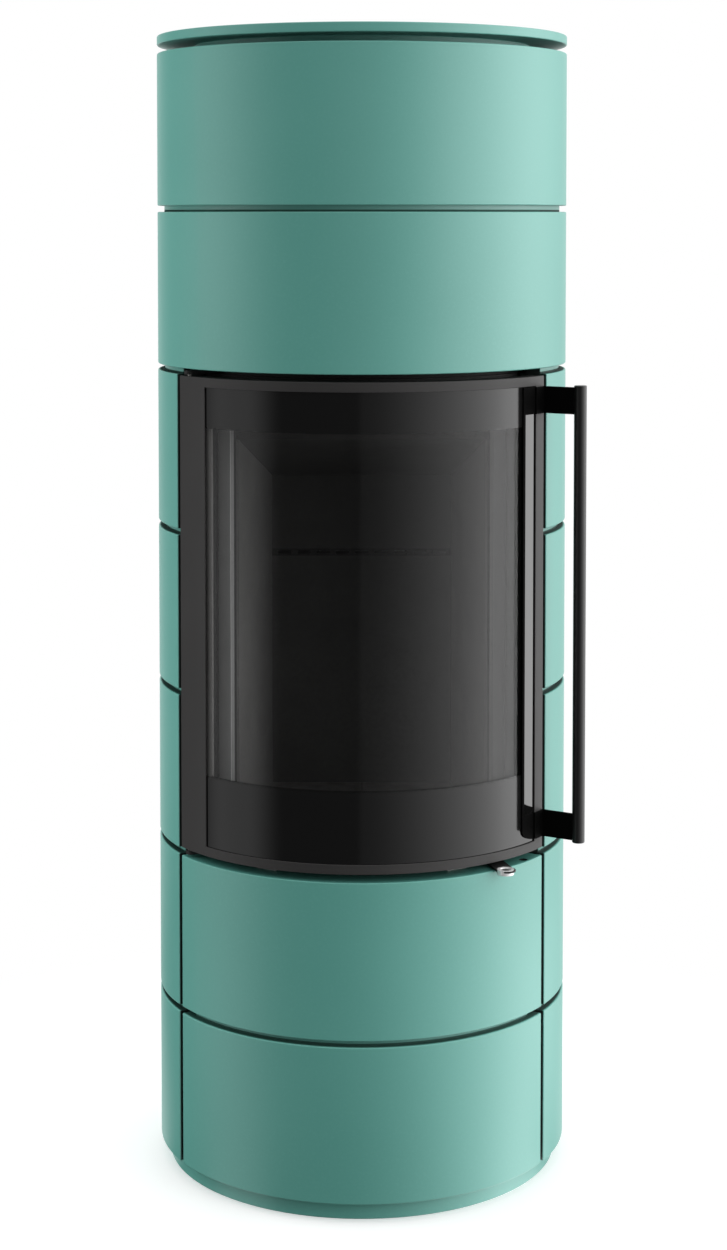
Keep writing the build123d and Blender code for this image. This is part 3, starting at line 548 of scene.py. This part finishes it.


# pale primer on the face of the front frame, made paler to stand in for light: painted light;
# greyer on its inner edge: painted shade; darker on the latch side: painted shade; and black paint
# where the frame meets the tiles
def makeFrameCoat():
    f = Finish("frameCoat")
    x, y, z = f.axes()
    grain = f.noise(scale=900.0, rough=0.6, seed=2.0)
    cloud = f.noise(scale=18.0, detail=3.0, rough=0.6, seed=2.0)
    painted = z.outside(frameCoat["foot"], frameCoat["head"], frameCoat["soft"])
    colour = f.mix(cloud.rise(0.4, 0.7), frameCoat["colour"], frameCoat["worn"])
    # the inner edge greyer than the face: painted shade on the edge, painted light on the face
    colour = f.mix(radiusOf(x, y).rise(*frameCoat["faceAt"]), frameCoat["edge"], colour)
    # painted shade on the latch side, to the right
    colour = f.mix(x.rise(*frameCoat["rightShadeAt"]), colour, frameCoat["rightShade"])
    colour = f.mix(painted, colour, frameCoat["black"])
    rough = frameCoat["roughness"] + grain * frameCoat["roughSpread"]
    relief = f.bump(grain, frameCoat["relief"], distance=0.0002)
    return f.done(f.surface(Base_Color=colour, Roughness=rough, Normal=relief))


chrome = dict(colour=(0.96, 0.96, 0.96), roughness=0.16, roughSpread=0.05, metal=0.28, relief=0.02)


def makeChrome():
    f = Finish("chrome")
    haze = f.noise(scale=900.0, seed=2.0)
    rough = chrome["roughness"] + (haze - 0.5) * chrome["roughSpread"]
    return f.done(f.surface(Base_Color=chrome["colour"], Metallic=chrome["metal"], Roughness=rough,
                            Normal=f.bump(haze, chrome["relief"], distance=0.0001)))


ropes = dict(sealingRope=dict(colour=(0.030, 0.029, 0.028), pale=(0.085, 0.080, 0.074)),
             wovenTape=dict(colour=(0.230, 0.228, 0.222), pale=(0.360, 0.356, 0.346)))
fibre = dict(yarn=0.7, dust=0.3, relief=0.5, roughness=0.95)


# graphited glass-fibre yarn; the strands themselves are modelled
def makeRope(name, look):
    f = Finish(name)
    yarn = f.noise(scale=2200.0, rough=0.6, seed=1.0)
    dust = f.noise(scale=60.0, detail=3.0, seed=2.0)
    pale = yarn.rise(0.4, 0.75) * fibre["yarn"] + dust.rise(0.5, 0.8) * fibre["dust"]
    colour = f.mix(pale.clamped(), look["colour"], look["pale"])
    relief = f.bump(yarn, fibre["relief"], distance=0.0004)
    return f.done(f.surface(Base_Color=colour, Roughness=fibre["roughness"], Normal=relief))


stone = dict(colour=(0.230, 0.222, 0.205), pale=(0.330, 0.320, 0.300), roughness=0.85,
             grainRelief=0.5, relief=0.4)


def makeStone():
    f = Finish("castStone")
    grain = f.noise(scale=150.0, detail=5.0, rough=0.7, seed=8.0)
    pits = f.cells(scale=220.0).rise(0.05, 0.2)
    colour = f.mix(grain.rise(0.3, 0.7), stone["colour"], stone["pale"])
    relief = f.bump(grain * stone["grainRelief"] + pits, stone["relief"], distance=0.001)
    return f.done(f.surface(Base_Color=colour, Roughness=stone["roughness"], Normal=relief))


def allOf(make, looks):
    return [make(name, look) for name, look in looks.items()]


greenGlaze = makeGlaze()
doorPaint, armPaint, barPaint, blackSteel = allOf(makePaint, paints)
firebrick, shadedBrick = allOf(makeBrick, bricks)
hearthBrick = makeHearth()
castIron = makeIron()
framePaint = makeFrameCoat()
castStone = makeStone()
sheetSteel, brightSteel = allOf(makeSheet, sheets)
chromePlate = makeChrome()
sealingRope, wovenTape = allOf(makeRope, ropes)
finishBySlot = {"green_glaze": greenGlaze, "door_paint": doorPaint, "handle_paint": barPaint,
                "sealing_rope": sealingRope, "firebrick": firebrick, "cast_stone": castStone,
                "cast_iron": castIron, "chrome": chromePlate, "bright_steel": brightSteel,
                "sheet_steel": sheetSteel, "black_steel": blackSteel}
print("finishes made")


# the tiled column
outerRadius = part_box("tile_ring_row_6")[1].x
plateLow, plateTop = heights("top_plate")
jointAngle = math.degrees(math.asin(tile["joint"] / 2 / outerRadius))
innerRadius = outerRadius - tile["wall"]
neckOuter = outerRadius - tile["neckRecess"]
neckInner = neckOuter - tile["neckWall"]


# the groove under each tile drops over the neck of the one below
def tileOutline(low, high, grooved):
    outline = [(innerRadius, low), (innerRadius, high), (outerRadius, high), (outerRadius, low)]
    if grooved:
        outside, inside = neckOuter + tile["groove"], neckInner - tile["groove"]
        roof = low + tile["lock"]
        outline += [(outside, low), (outside, roof), (inside, roof), (inside, low)]
    return outline


def neckOutline(high):
    low, top = high - tile["neckInto"], high + tile["joint"] + tile["lock"]
    return [(neckInner, low), (neckOuter, low), (neckOuter, top), (neckInner, top)]


def glazedPiece(name, made, node, edge):
    return meshPiece(name, made, greenGlaze, "stove", (node,), bevel=edge)


def tilePiece(name, node, start, end, grooved=True, neck=True, neckInset=0.0):
    low, high = heights(node)
    if neck:
        high -= tile["joint"] + tile["lock"]
    made = bmesh.new()
    sweep(made, tileOutline(low, high, grooved), tile["step"], start, end)
    if neck:
        sweep(made, neckOutline(high), tile["step"], start + neckInset, end - neckInset)
    return glazedPiece(name, made, node, tile["edge"])


sideStart, sideEnd = tile["sideJoint"] + jointAngle, 180.0 - jointAngle
sideRows = [name for name in nodes if name.startswith("right_tile_row_")]
for row in range(1, len(sideRows) + 1):
    grooved = row > 1
    tilePiece(f"rightTile{row}", f"right_tile_row_{row}", sideStart, sideEnd, grooved)
    tilePiece(f"leftTile{row}", f"left_tile_row_{row}", -sideEnd, -sideStart, grooved)
frontHalf = tile["sideJoint"] - jointAngle
tilePiece("frontTile1", "front_tile_row_1", -frontHalf, frontHalf, grooved=False,
          neckInset=arc(tile["neckInset"], outerRadius))
upperFront = tilePiece("frontTile2", "front_tile_row_2", -frontHalf, frontHalf, neck=False)
tilePiece("ringTile6", "tile_ring_row_6", 0.0, 360.0)

topLip = dict(reach=0.065, thick=0.012)


# the top ring's inner lip carries the collar of the plate
def topRing():
    low, high = heights("tile_ring_row_7")
    lipInner, lipLow = outerRadius - topLip["reach"], high - topLip["thick"]
    made = bmesh.new()
    outline = [(innerRadius, low), (innerRadius, lipLow), (lipInner, lipLow), (lipInner, high)]
    outline += tileOutline(low, high, True)[2:]
    sweep(made, outline, tile["step"])
    glazedPiece("ringTile7", made, "tile_ring_row_7", tile["edge"])


hole = dict(radius=0.0055, depth=0.014, angle=52.0, inset=0.0085, past=0.004, step=15.0,
            beside=0.0003, below=0.001)


# a hole in the top of the front tile, for a fixing; below its rim the walls and floor are coloured
# black: painted shade
def fixingHole():
    radius, top = hole["radius"], heights("front_tile_row_2")[1]
    x, y, z = polar(outerRadius - hole["inset"], hole["angle"], top)
    made = bmesh.new()
    lathe(made, [(radius, top - hole["depth"]), (radius, top + hole["past"])], hole["step"], x, y)
    cutAway(upperFront, "holeCutter", made, greenGlaze, blackSteel)
    # the faces deep in the hole take the black finish: painted shade
    for face in upperFront.data.polygons:
        inside = math.hypot(face.center.x - x, face.center.y - y) < radius + hole["beside"]
        if inside and face.center.z < top - hole["below"]:
            face.material_index = 1


plate = dict(thick=0.012, collarOuter=0.050, collarWall=0.015, bore=0.079, edge=0.0016)


def topPlate():
    low = plateTop - plate["thick"]
    collar = outerRadius - plate["collarOuter"]
    collarInner = collar - plate["collarWall"]
    made = bmesh.new()
    outline = [(plate["bore"], plateTop), (plate["bore"], low), (collarInner, low),
               (collarInner, plateLow), (collar, plateLow), (collar, low), (outerRadius, low),
               (outerRadius, plateTop)]
    sweep(made, outline, tile["step"])
    glazedPiece("topPlate", made, "top_plate", plate["edge"])


dish = dict(recess=0.0125, wall=0.0125, floor=0.005, ductClear=0.001, cutLow=-0.01, cutHigh=0.02,
            cutStep=6.0, edge=0.0016, edgeLimit=50)


# a shallow dish with a hole for the air duct
def plinth():
    top = heights("plinth")[1]
    radius = outerRadius - dish["recess"]
    inner = radius - dish["wall"]
    ductLow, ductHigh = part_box("air_duct")
    ductX, ductY = (ductLow.x + ductHigh.x) / 2, (ductLow.y + ductHigh.y) / 2
    made = bmesh.new()
    outline = [(radius, 0.0), (radius, top), (inner, top), (inner, dish["floor"])]
    lathe(made, outline, tile["step"])
    piece = glazedPiece("plinth", made, "plinth", None)
    cut = bmesh.new()
    reach = (ductHigh.x - ductLow.x) / 2 + dish["ductClear"]
    lathe(cut, [(reach, dish["cutLow"]), (reach, dish["cutHigh"])], dish["cutStep"], ductX, ductY)
    cutAway(piece, "ductCutter", cut, greenGlaze)
    roundEdges(piece, dish["edge"], limit=dish["edgeLimit"])


topRing()
fixingHole()
topPlate()
plinth()
print("tiles made")


# the door; half and the stiles are angles from the front
door = dict(half=59.2, skin=0.0016, depth=0.021, rim=0.0123, leftStile=47.0, rightStile=54.8,
            overlap=0.0004, edge=0.0007, lugWidth=0.006, lugHeight=0.010, lugs=4, lugEnd=0.0486,
            lugInto=0.0006)
# the bands are printed below foot, above head and, above sideFoot, to the right of side
pane = dict(tint=(0.004, 0.004, 0.004), ink=(0.005, 0.005, 0.005), paleInk=(0.009, 0.009, 0.009),
            paler=0.4, smoke=0.22, ripple=0.04, roughness=0.05, hazeRough=0.02, inkRough=0.03,
            clearIor=1.95, inkIor=1.50, sideIor=1.72,
            foot=0.541, head=0.983, soft=0.0015, side=49.6, sideSoft=0.15, sideFoot=0.470,
            gap=0.0003, thick=0.004, lap=0.008, edge=0.0006)
paneSeal = dict(width=0.0135, thick=0.004, edgeGap=0.0015, lift=0.0001, edge=0.0012)
doorLow, doorHigh = heights("door_frame")
skinInner = outerRadius - door["skin"]
backRadius = outerRadius - door["depth"]
glassLow, glassHigh = heights("door_glass")
glassOuter = skinInner - pane["gap"]
glassInner = glassOuter - pane["thick"]
glassStart = -door["leftStile"] - arc(pane["lap"], outerRadius)
glassEnd = door["rightStile"] + arc(pane["lap"], outerRadius)
tapeInner = glassInner - paneSeal["thick"]
lugOut = arc(paneSeal["edgeGap"] + door["lugWidth"] / 2, outerRadius)
lugLow, lugHigh = doorLow + door["lugEnd"], doorHigh - door["lugEnd"]
lugPlaces = [(angle, lugLow + (lugHigh - lugLow) * i / (door["lugs"] - 1))
             for angle in (glassStart - lugOut, glassEnd + lugOut) for i in range(door["lugs"])]


# the pressed skin, its four sides turned back, and the lugs that the pane's clamp stands on
def doorFrame():
    half, wall = door["half"], arc(door["skin"], outerRadius)
    made = bmesh.new()
    window = (-door["leftStile"], door["rightStile"], doorLow + door["rim"], doorHigh - door["rim"])
    curvedPlate(made, skinInner, outerRadius, doorLow, doorHigh, -half, half, [window])
    sides = [(low, low + door["skin"], -half, half) for low in (doorLow, doorHigh - door["skin"])]
    sides += [(doorLow, doorHigh, start, start + wall) for start in (-half, half - wall)]
    for side in sides:
        curvedPlate(made, backRadius, skinInner + door["overlap"], *side)
    lug = (door["lugWidth"], skinInner - tapeInner + door["lugInto"], door["lugHeight"])
    for angle, z in lugPlaces:
        turnedBlock(made, polar((tapeInner + skinInner) / 2, angle, z), lug, angle)
    meshPiece("doorFrame", made, doorPaint, "door", ("door_frame",),
              bevel=door["edge"])


# smoked ceramic glass: printed across its head and foot and beside the handle, clear between
def makePane():
    f = Finish("ceramicGlass")
    x, y, z = f.axes()
    relief = f.bump(f.noise(scale=9.0, detail=1.0, seed=4.0), pane["ripple"], distance=0.002)
    haze = f.noise(scale=35.0, detail=4.0, seed=5.0)
    rough = pane["roughness"] + haze * pane["hazeRough"]
    ink = f.mix(f.noise(scale=1200.0, seed=6.0) * pane["paler"], pane["ink"], pane["paleInk"])
    smoked = f.surface(Base_Color=pane["tint"], Roughness=rough, IOR=pane["clearIor"],
                       Alpha=pane["smoke"], Normal=relief)
    printed = f.surface(Base_Color=ink, Roughness=rough + pane["inkRough"], IOR=pane["inkIor"],
                        Normal=relief)
    margin = f.surface(Base_Color=ink, Roughness=rough, IOR=pane["sideIor"], Normal=relief)
    bands = z.outside(pane["foot"], pane["head"], pane["soft"])
    side, soft = pane["side"], pane["sideSoft"]
    beside = turnOf(x, y).rise(side - soft, side + soft) * z.above(pane["sideFoot"])
    return f.done(f.blend(beside, f.blend(bands, smoked, printed), margin))


def doorGlass():
    made = bmesh.new()
    curvedPlate(made, glassInner, glassOuter, glassLow, glassHigh, glassStart, glassEnd)
    meshPiece("doorGlass", made, makePane(), "door", ("door_glass",),
              bevel=pane["edge"], segments=2)


doorFrame()
doorGlass()


# the handle: a thin strip and two feet on the glass, two feet on the stile, two arms and a bar
handle = dict(foot=0.0022, plate=0.004, strip=48.9, stripWidth=0.0048, stripThick=0.0019,
              footStart=54.3, footClear=0.1, footStep=0.4, arm=0.0343, angle=59.3, bar=0.008,
              barStep=7.5, barEdge=0.0011, reach=0.051, lift=0.0001, lap=0.001, intoFoot=0.6,
              intoBar=0.8, edge=0.0006, cornerAcross=0.034, cornerUp=0.014)
handleLow, handleHigh = heights("handle_frame")
barLow, barHigh = heights("handle_bar")


# height of the lower edge of the foot, drawn up towards the glass
def footEdge(angle):
    along = (angle - handle["strip"]) / arc(handle["cornerAcross"], outerRadius)
    return handle["cornerUp"] * (1 - math.sqrt(1 - (1 - min(along, 1.0)) ** 2))


def levelEdge(angle):
    return 0.0


def footPlate(made, inner, outer, start, end, low, high, edge):
    columns = []
    for turn in anglesBetween(start, end, handle["footStep"]):
        foot = low + edge(turn)
        outline = ((inner, foot), (outer, foot), (outer, high), (inner, high))
        columns.append([made.verts.new(polar(r, turn, z)) for r, z in outline])
    bridge(made, columns)
    made.faces.new(columns[0])
    made.faces.new(list(reversed(columns[-1])))


def handlePiece(name, made, finish, replaces=(), edge=handle["edge"], segments=3):
    meshPiece(name, made, finish, "door", replaces, edge, segments)


def handlePieces():
    outer = outerRadius + handle["foot"]
    barRadius = outerRadius + handle["reach"]
    stripStart, stripInner = handle["strip"], glassOuter + handle["lift"]
    stripOuter = stripInner + handle["stripThick"]
    stripEnd = stripStart + arc(handle["stripWidth"], stripOuter)
    footEnd = door["rightStile"] - handle["footClear"]
    upperFoot = handleHigh - handle["arm"]
    made = bmesh.new()
    curvedPlate(made, stripInner, stripOuter - handle["lift"],
                handleLow + handle["arm"] - handle["lap"], upperFoot + handle["lap"],
                stripStart, stripEnd)
    for low, edge in ((handleLow, footEdge), (upperFoot, levelEdge)):
        high = low + handle["arm"]
        footPlate(made, stripInner, stripOuter, stripStart, footEnd, low, high, edge)
        footPlate(made, outerRadius, outer, handle["footStart"], handle["angle"], low, high, edge)
    handlePiece("handlePlate", made, armPaint, ("handle_frame",), segments=2)
    armAngle = handle["angle"] - arc(handle["plate"] / 2, barRadius)
    armIn = outer - handle["foot"] * handle["intoFoot"]
    armOut = barRadius - handle["bar"] * handle["intoBar"]
    made = bmesh.new()
    for low in (handleLow, upperFoot):
        middle = polar((armIn + armOut) / 2, armAngle, low + handle["arm"] / 2)
        turnedBlock(made, middle, (handle["plate"], armOut - armIn, handle["arm"]), armAngle)
    handlePiece("handleArms", made, armPaint)
    x, y, z = polar(barRadius, handle["angle"])
    made = bmesh.new()
    lathe(made, [(handle["bar"], barLow), (handle["bar"], barHigh)], handle["barStep"], x, y)
    handlePiece("handleBar", made, barPaint, ("handle_bar",), handle["barEdge"])


handlePieces()

# half is an angle; lay is the length of a strand's turn, along the spacing of the rings
seal = dict(width=0.0108, half=52.03, clear=0.0004, corner=0.010, cornerSteps=6, lay=0.0135,
            lobes=4, swell=0.075, square=0.45, fill=0.93, around=20, along=0.0028)


# a closed path round the door's inner plate, as (metres along the curve, height), with round
# corners
def sealPath(radius, half, low, high, corner):
    side = math.radians(half) * radius
    middles = ((side - corner, high - corner, 0), (-side + corner, high - corner, 90),
               (-side + corner, low + corner, 180), (side - corner, low + corner, 270))
    points = []
    for x, z, first in middles:
        for i in range(seal["cornerSteps"] + 1):
            a = math.radians(first + 90 * i / seal["cornerSteps"])
            points.append((x + corner * math.cos(a), z + corner * math.sin(a)))
    spaced = []
    for (x0, z0), (x1, z1) in zip(points, points[1:] + points[:1]):
        count = max(1, round(math.hypot(x1 - x0, z1 - z0) / seal["along"]))
        spaced += [(x0 + (x1 - x0) * i / count, z0 + (z1 - z0) * i / count) for i in range(count)]
    return spaced


def ropeSeal():
    low, high = heights("door_gasket")
    ropeInner = innerRadius + seal["clear"]
    middle = (ropeInner + backRadius) / 2
    depth, width = (backRadius - ropeInner) / 2, seal["width"] / 2
    path = sealPath(middle, seal["half"], low + width, high - width, seal["corner"])
    made = bmesh.new()
    rings, run = [], 0.0
    for i, (s, z) in enumerate(path):
        s0, z0 = path[i - 1]
        s1, z1 = path[(i + 1) % len(path)]
        run += math.hypot(s - s0, z - z0) if i else 0.0
        size = math.hypot(s1 - s0, z1 - z0)
        across = Vector(((z1 - z0) / size, -(s1 - s0) / size))
        twist = 2 * math.pi * run / seal["lay"]
        ring = []
        for k in range(seal["around"]):
            turn = 2 * math.pi * k / seal["around"]
            lobe = seal["lobes"] * turn / 2
            strand = abs(math.sin(lobe + twist)) * abs(math.sin(lobe - twist))
            grow = 1 - seal["swell"] + seal["swell"] * strand
            c, d = math.cos(turn), math.sin(turn)
            square = 1 / max(abs(c), abs(d)) ** seal["square"]
            u = width * c * grow * square * seal["fill"]
            r = middle + depth * d * grow * square * seal["fill"]
            angle = math.degrees((s + across.x * u) / middle)
            ring.append(made.verts.new(polar(r, angle, z + across.y * u)))
        rings.append(ring)
    bridge(made, rings + rings[:1])
    meshPiece("ropeSeal", made, sealingRope, "door", ("door_gasket",))


# flat woven tape under the pane's clamp
def paneTape():
    low, high = heights("glass_gasket")
    made = bmesh.new()
    width = paneSeal["width"]
    side = arc(width, outerRadius)
    window = (glassStart + side, glassEnd - side, low + width, high - width)
    curvedPlate(made, tapeInner + paneSeal["lift"], glassInner, low, high, glassStart, glassEnd,
                [window])
    meshPiece("paneTape", made, wovenTape, "door", ("glass_gasket",),
              bevel=paneSeal["edge"])


ropeSeal()
paneTape()
print("door made")


knob = dict(body=0.0108, bore=0.0064, stand=0.0005, lip=0.0008, edge=0.0004, step=7.5,
            eyeOuter=0.0113, eyeInner=0.0090, eyeThick=0.0024, eyeAside=0.0016, eyeEdge=0.0005)


# a bright ring through the end of the air bar; the bar's dark eye shows on one side of it
def airKnob():
    knobLow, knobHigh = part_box("air_knob")
    knobX, knobY = (knobLow.x + knobHigh.x) / 2, (knobLow.y + knobHigh.y) / 2
    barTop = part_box("air_rod")[1].z
    rimTop, eyeLow = barTop + knob["stand"], barTop - knob["eyeThick"]
    outline = [(knob["bore"], knobLow.z), (knob["body"], knobLow.z), (knob["body"], rimTop),
               (knob["bore"] + knob["lip"], rimTop), (knob["bore"], rimTop - knob["lip"])]
    made = bmesh.new()
    sweep(made, outline, knob["step"], x=knobX, y=knobY)
    meshPiece("airKnob", made, chromePlate, "air_control", ("air_knob",),
              bevel=knob["edge"])
    eye = [(knob["eyeInner"], eyeLow), (knob["eyeOuter"], eyeLow), (knob["eyeOuter"], barTop),
           (knob["eyeInner"], barTop)]
    made = bmesh.new()
    sweep(made, eye, knob["step"], x=knobX + knob["eyeAside"], y=knobY)
    meshPiece("barEye", made, blackSteel, "air_control", bevel=knob["eyeEdge"])


airKnob()
print("air control made")


# the profile runs from the rim over the head into the socket, as parts of the radius and the
# height; the clamp's and the plate's screws have their radius and height, in metres
screws = dict(profile=((1.0, 0.0), (1.0, 0.45), (0.86, 0.82), (0.55, 1.0), (0.50, 1.0),
                       (0.46, 0.92), (0.46, 0.35)), socketFrom=4, socket=0.88, around=18,
              clampSize=(0.0042, 0.0022), clampThick=0.003, plateSize=(0.0045, 0.0024),
              plateAngle=56.9, plateRows=(0.062, 0.205, 0.400, 0.545))


# a pan head with a hex socket, standing on a face whose outward direction is given
def screwHead(made, place, direction, radius, height):
    turn = Matrix.Translation(place) @ direction.to_track_quat("Z", "X").to_matrix().to_4x4()
    rings = []
    for i, (across, up) in enumerate(screws["profile"]):
        ring = []
        for k in range(screws["around"]):
            angle = k * 360 // screws["around"]
            a, r = math.radians(angle), across * radius
            if i >= screws["socketFrom"]:
                r = r / math.cos(math.radians((angle + 30) % 60 - 30)) * screws["socket"]
            point = Vector((r * math.cos(a), r * math.sin(a), up * height))
            ring.append(made.verts.new(turn @ point))
        rings.append(ring)
    bridge(made, rings)
    closeEnds(made, rings)


def doorScrews():
    platePlaces = [(angle, doorLow + up) for angle in (-screws["plateAngle"], screws["plateAngle"])
                   for up in screws["plateRows"]]
    clampFace = tapeInner - screws["clampThick"]
    for name, places, face, size in (("clampScrews", lugPlaces, clampFace, screws["clampSize"]),
                                     ("plateScrews", platePlaces, backRadius, screws["plateSize"])):
        made = bmesh.new()
        for angle, z in places:
            screwHead(made, polar(face, angle, z), -polar(1.0, angle), *size)
        meshPiece(name, made, brightSteel, "door")


doorScrews()
print("screws made")


# the nodes that keep their own shape get their finishes
# the back lining and the baffles take the darker board: painted shade
ownFinish = {"floor_lining": hearthBrick, "front_frame": framePaint,
             "back_lining_lower": shadedBrick, "back_lining_upper": shadedBrick,
             "lower_baffle": shadedBrick, "upper_baffle": shadedBrick}
for row in frame["record"]["subparts"]:
    node = nodes[row["node"]]
    finish = ownFinish.get(row["node"], finishBySlot.get(row["material_slot"]))
    if finish:
        node.data.materials.clear()
        node.data.materials.append(finish)
print("finishes laid on the nodes")


studio = dict(floor=(0.80, 0.80, 0.80), paper=(0.74, 0.74, 0.74), grain=0.05, relief=0.05,
              roughness=0.9, floorRadius=1.15, floorSides=96, whiteAt=(0.36, 0.90), glow=0.34,
              backdrop=(0.25, 0.9), bend=1.8)
# what the stove is lit by, by direction round it: a broad softbox that brightens towards the
# right, a smaller one on the left, the white backdrop behind and a soft ceiling
light = dict(key=2.95, keyPower=1.7, keyStart=0.0, keyPeak=88.0, keyFade=(94.0, 165.0),
             keyFoot=(-30.0, -12.0), keyFloor=0.10, keyFloorEdges=(-3.0, 1.0),
             left=0.62, leftEdges=(-108.0, -84.0, -68.0, -44.0), backEdges=(138.0, 165.0),
             dark=0.07, ceiling=1.05, ceilingEdges=(30.0, 52.0))
# lamps that only model the tiles, without a highlight: at the left, in front and at the right
fills = dict(leftFill=dict(turn=-100.0, distance=2.4, height=1.0, width=1.8, tall=2.2, power=41.0),
             frontFill=dict(turn=-5.0, distance=3.4, height=1.4, width=1.8, tall=2.2, power=7.0),
             rightFill=dict(turn=50.0, distance=3.4, height=1.4, width=1.8, tall=2.2, power=18.0))


# 1 for the rays that see the white background: the camera's, those through glass, and
# reflections that look back past the stove at the backdrop
def watching(f, behind):
    rays = f.node("ShaderNodeLightPath").outputs
    straight = Wire(f, rays["Is Camera Ray"]).largest(Wire(f, rays["Is Transmission Ray"]))
    return straight.largest(Wire(f, rays["Is Glossy Ray"]) * behind)


# brightness round the stove by direction: the key softbox, the rest, and how far it is behind
def ringLight(turn):
    ramp = ((turn - light["keyStart"]) / (light["keyPeak"] - light["keyStart"])).clamped()
    key = (ramp ** light["keyPower"]) * light["key"] * (1 - turn.rise(*light["keyFade"]))
    a, b, c, d = light["leftEdges"]
    rest = turn.rise(a, b) * (1 - turn.rise(c, d)) * light["left"]
    rest = rest + turn.rise(*light["keyFloorEdges"]) * light["keyFloor"]
    return key, rest, turn.size().rise(*light["backEdges"])


# a shadow-catching sheet of paper; what mirrors it sees the ring of light carried on below
def makeFloor():
    f = Finish("studioFloor")
    x, y, z = f.axes()
    away = radiusOf(x, y)
    watched = watching(f, y.rise(*studio["backdrop"]))
    paper = f.noise(scale=60.0, detail=3.0, seed=1.0)
    colour = f.mix(paper * studio["grain"], studio["floor"], studio["paper"])
    lit = f.surface(Base_Color=colour, Roughness=studio["roughness"],
                    Emission_Color=(1.0, 1.0, 1.0), Emission_Strength=watched * studio["glow"],
                    Normal=f.bump(paper, studio["relief"], distance=0.001))
    white = f.glow("ShaderNodeEmission", 1.0)
    far = away.rise(*studio["whiteAt"])
    # a reflection leaves the round column at twice the angle it meets it at, so close to the
    # stove the floor's own direction falls behind the one the light is asked for
    key, rest, behind = ringLight(turnOf(x, y) * (1 + (outerRadius / away) ** studio["bend"]))
    carried = f.glow("ShaderNodeEmission", (key + rest) * (1 - behind) + behind + light["dark"])
    glossy = f.wire("ShaderNodeLightPath", out="Is Glossy Ray")
    return f.done(f.blend(glossy, f.blend(watched * far, lit, white), carried))


def floorPiece():
    made = bmesh.new()
    bmesh.ops.create_circle(made, cap_ends=True, radius=studio["floorRadius"],
                            segments=studio["floorSides"])
    mesh = bpy.data.meshes.new("studioFloor")
    made.to_mesh(mesh)
    made.free()
    mesh.materials.append(makeFloor())
    piece = joined("studioFloor", mesh)
    piece.visible_diffuse = False


def makeWorld():
    world = bpy.data.worlds.new("studio")
    bpy.context.scene.world = world
    world.use_nodes = True
    f = Finish("studio", world.node_tree)
    x, y, z = f.axes(f.wire("ShaderNodeTexCoord", out="Generated"))
    lift = z.maths("ARCSINE", z) * math.degrees(1.0)
    key, rest, behind = ringLight(turnOf(x, y))
    above = lift.rise(*light["ceilingEdges"])
    ring = (key * lift.rise(*light["keyFoot"]) + rest) * (1 - behind) + behind + light["dark"]
    lit = f.glow("ShaderNodeBackground", ring * (1 - above) + above * light["ceiling"])
    white = f.glow("ShaderNodeBackground", 1.0)
    f.node("ShaderNodeOutputWorld", None, {"Surface": f.blend(watching(f, behind), lit, white)})


def hangFills():
    for name, fill in fills.items():
        data = bpy.data.lights.new(name, "AREA")
        data.shape, data.size, data.size_y = "RECTANGLE", fill["width"], fill["tall"]
        data.energy = fill["power"]
        piece = joined(name, data)
        piece.location = polar(fill["distance"], fill["turn"], fill["height"])
        aim = Vector((0.0, 0.0, fill["height"])) - piece.location
        piece.rotation_euler = aim.to_track_quat("-Z", "Y").to_euler()
        piece.visible_camera = piece.visible_glossy = False


camera = dict(distance=3.1605, height=1.2499, lens=68.55, sensor=36.0, tilt=3.097, shiftX=0.0013,
              shiftY=-0.225)


def setCamera():
    data = bpy.data.cameras.new("photoCamera")
    piece = joined("photoCamera", data)
    data.lens, data.sensor_width = camera["lens"], camera["sensor"]
    data.shift_x, data.shift_y = camera["shiftX"], camera["shiftY"]
    piece.location = (0.0, -camera["distance"], camera["height"])
    piece.rotation_euler = (math.radians(90 - camera["tilt"]), 0.0, 0.0)
    bpy.context.scene.camera = piece


floorPiece()
makeWorld()
hangFills()
setCamera()
bpy.context.scene.view_settings.view_transform = "Standard"
print("studio ready")
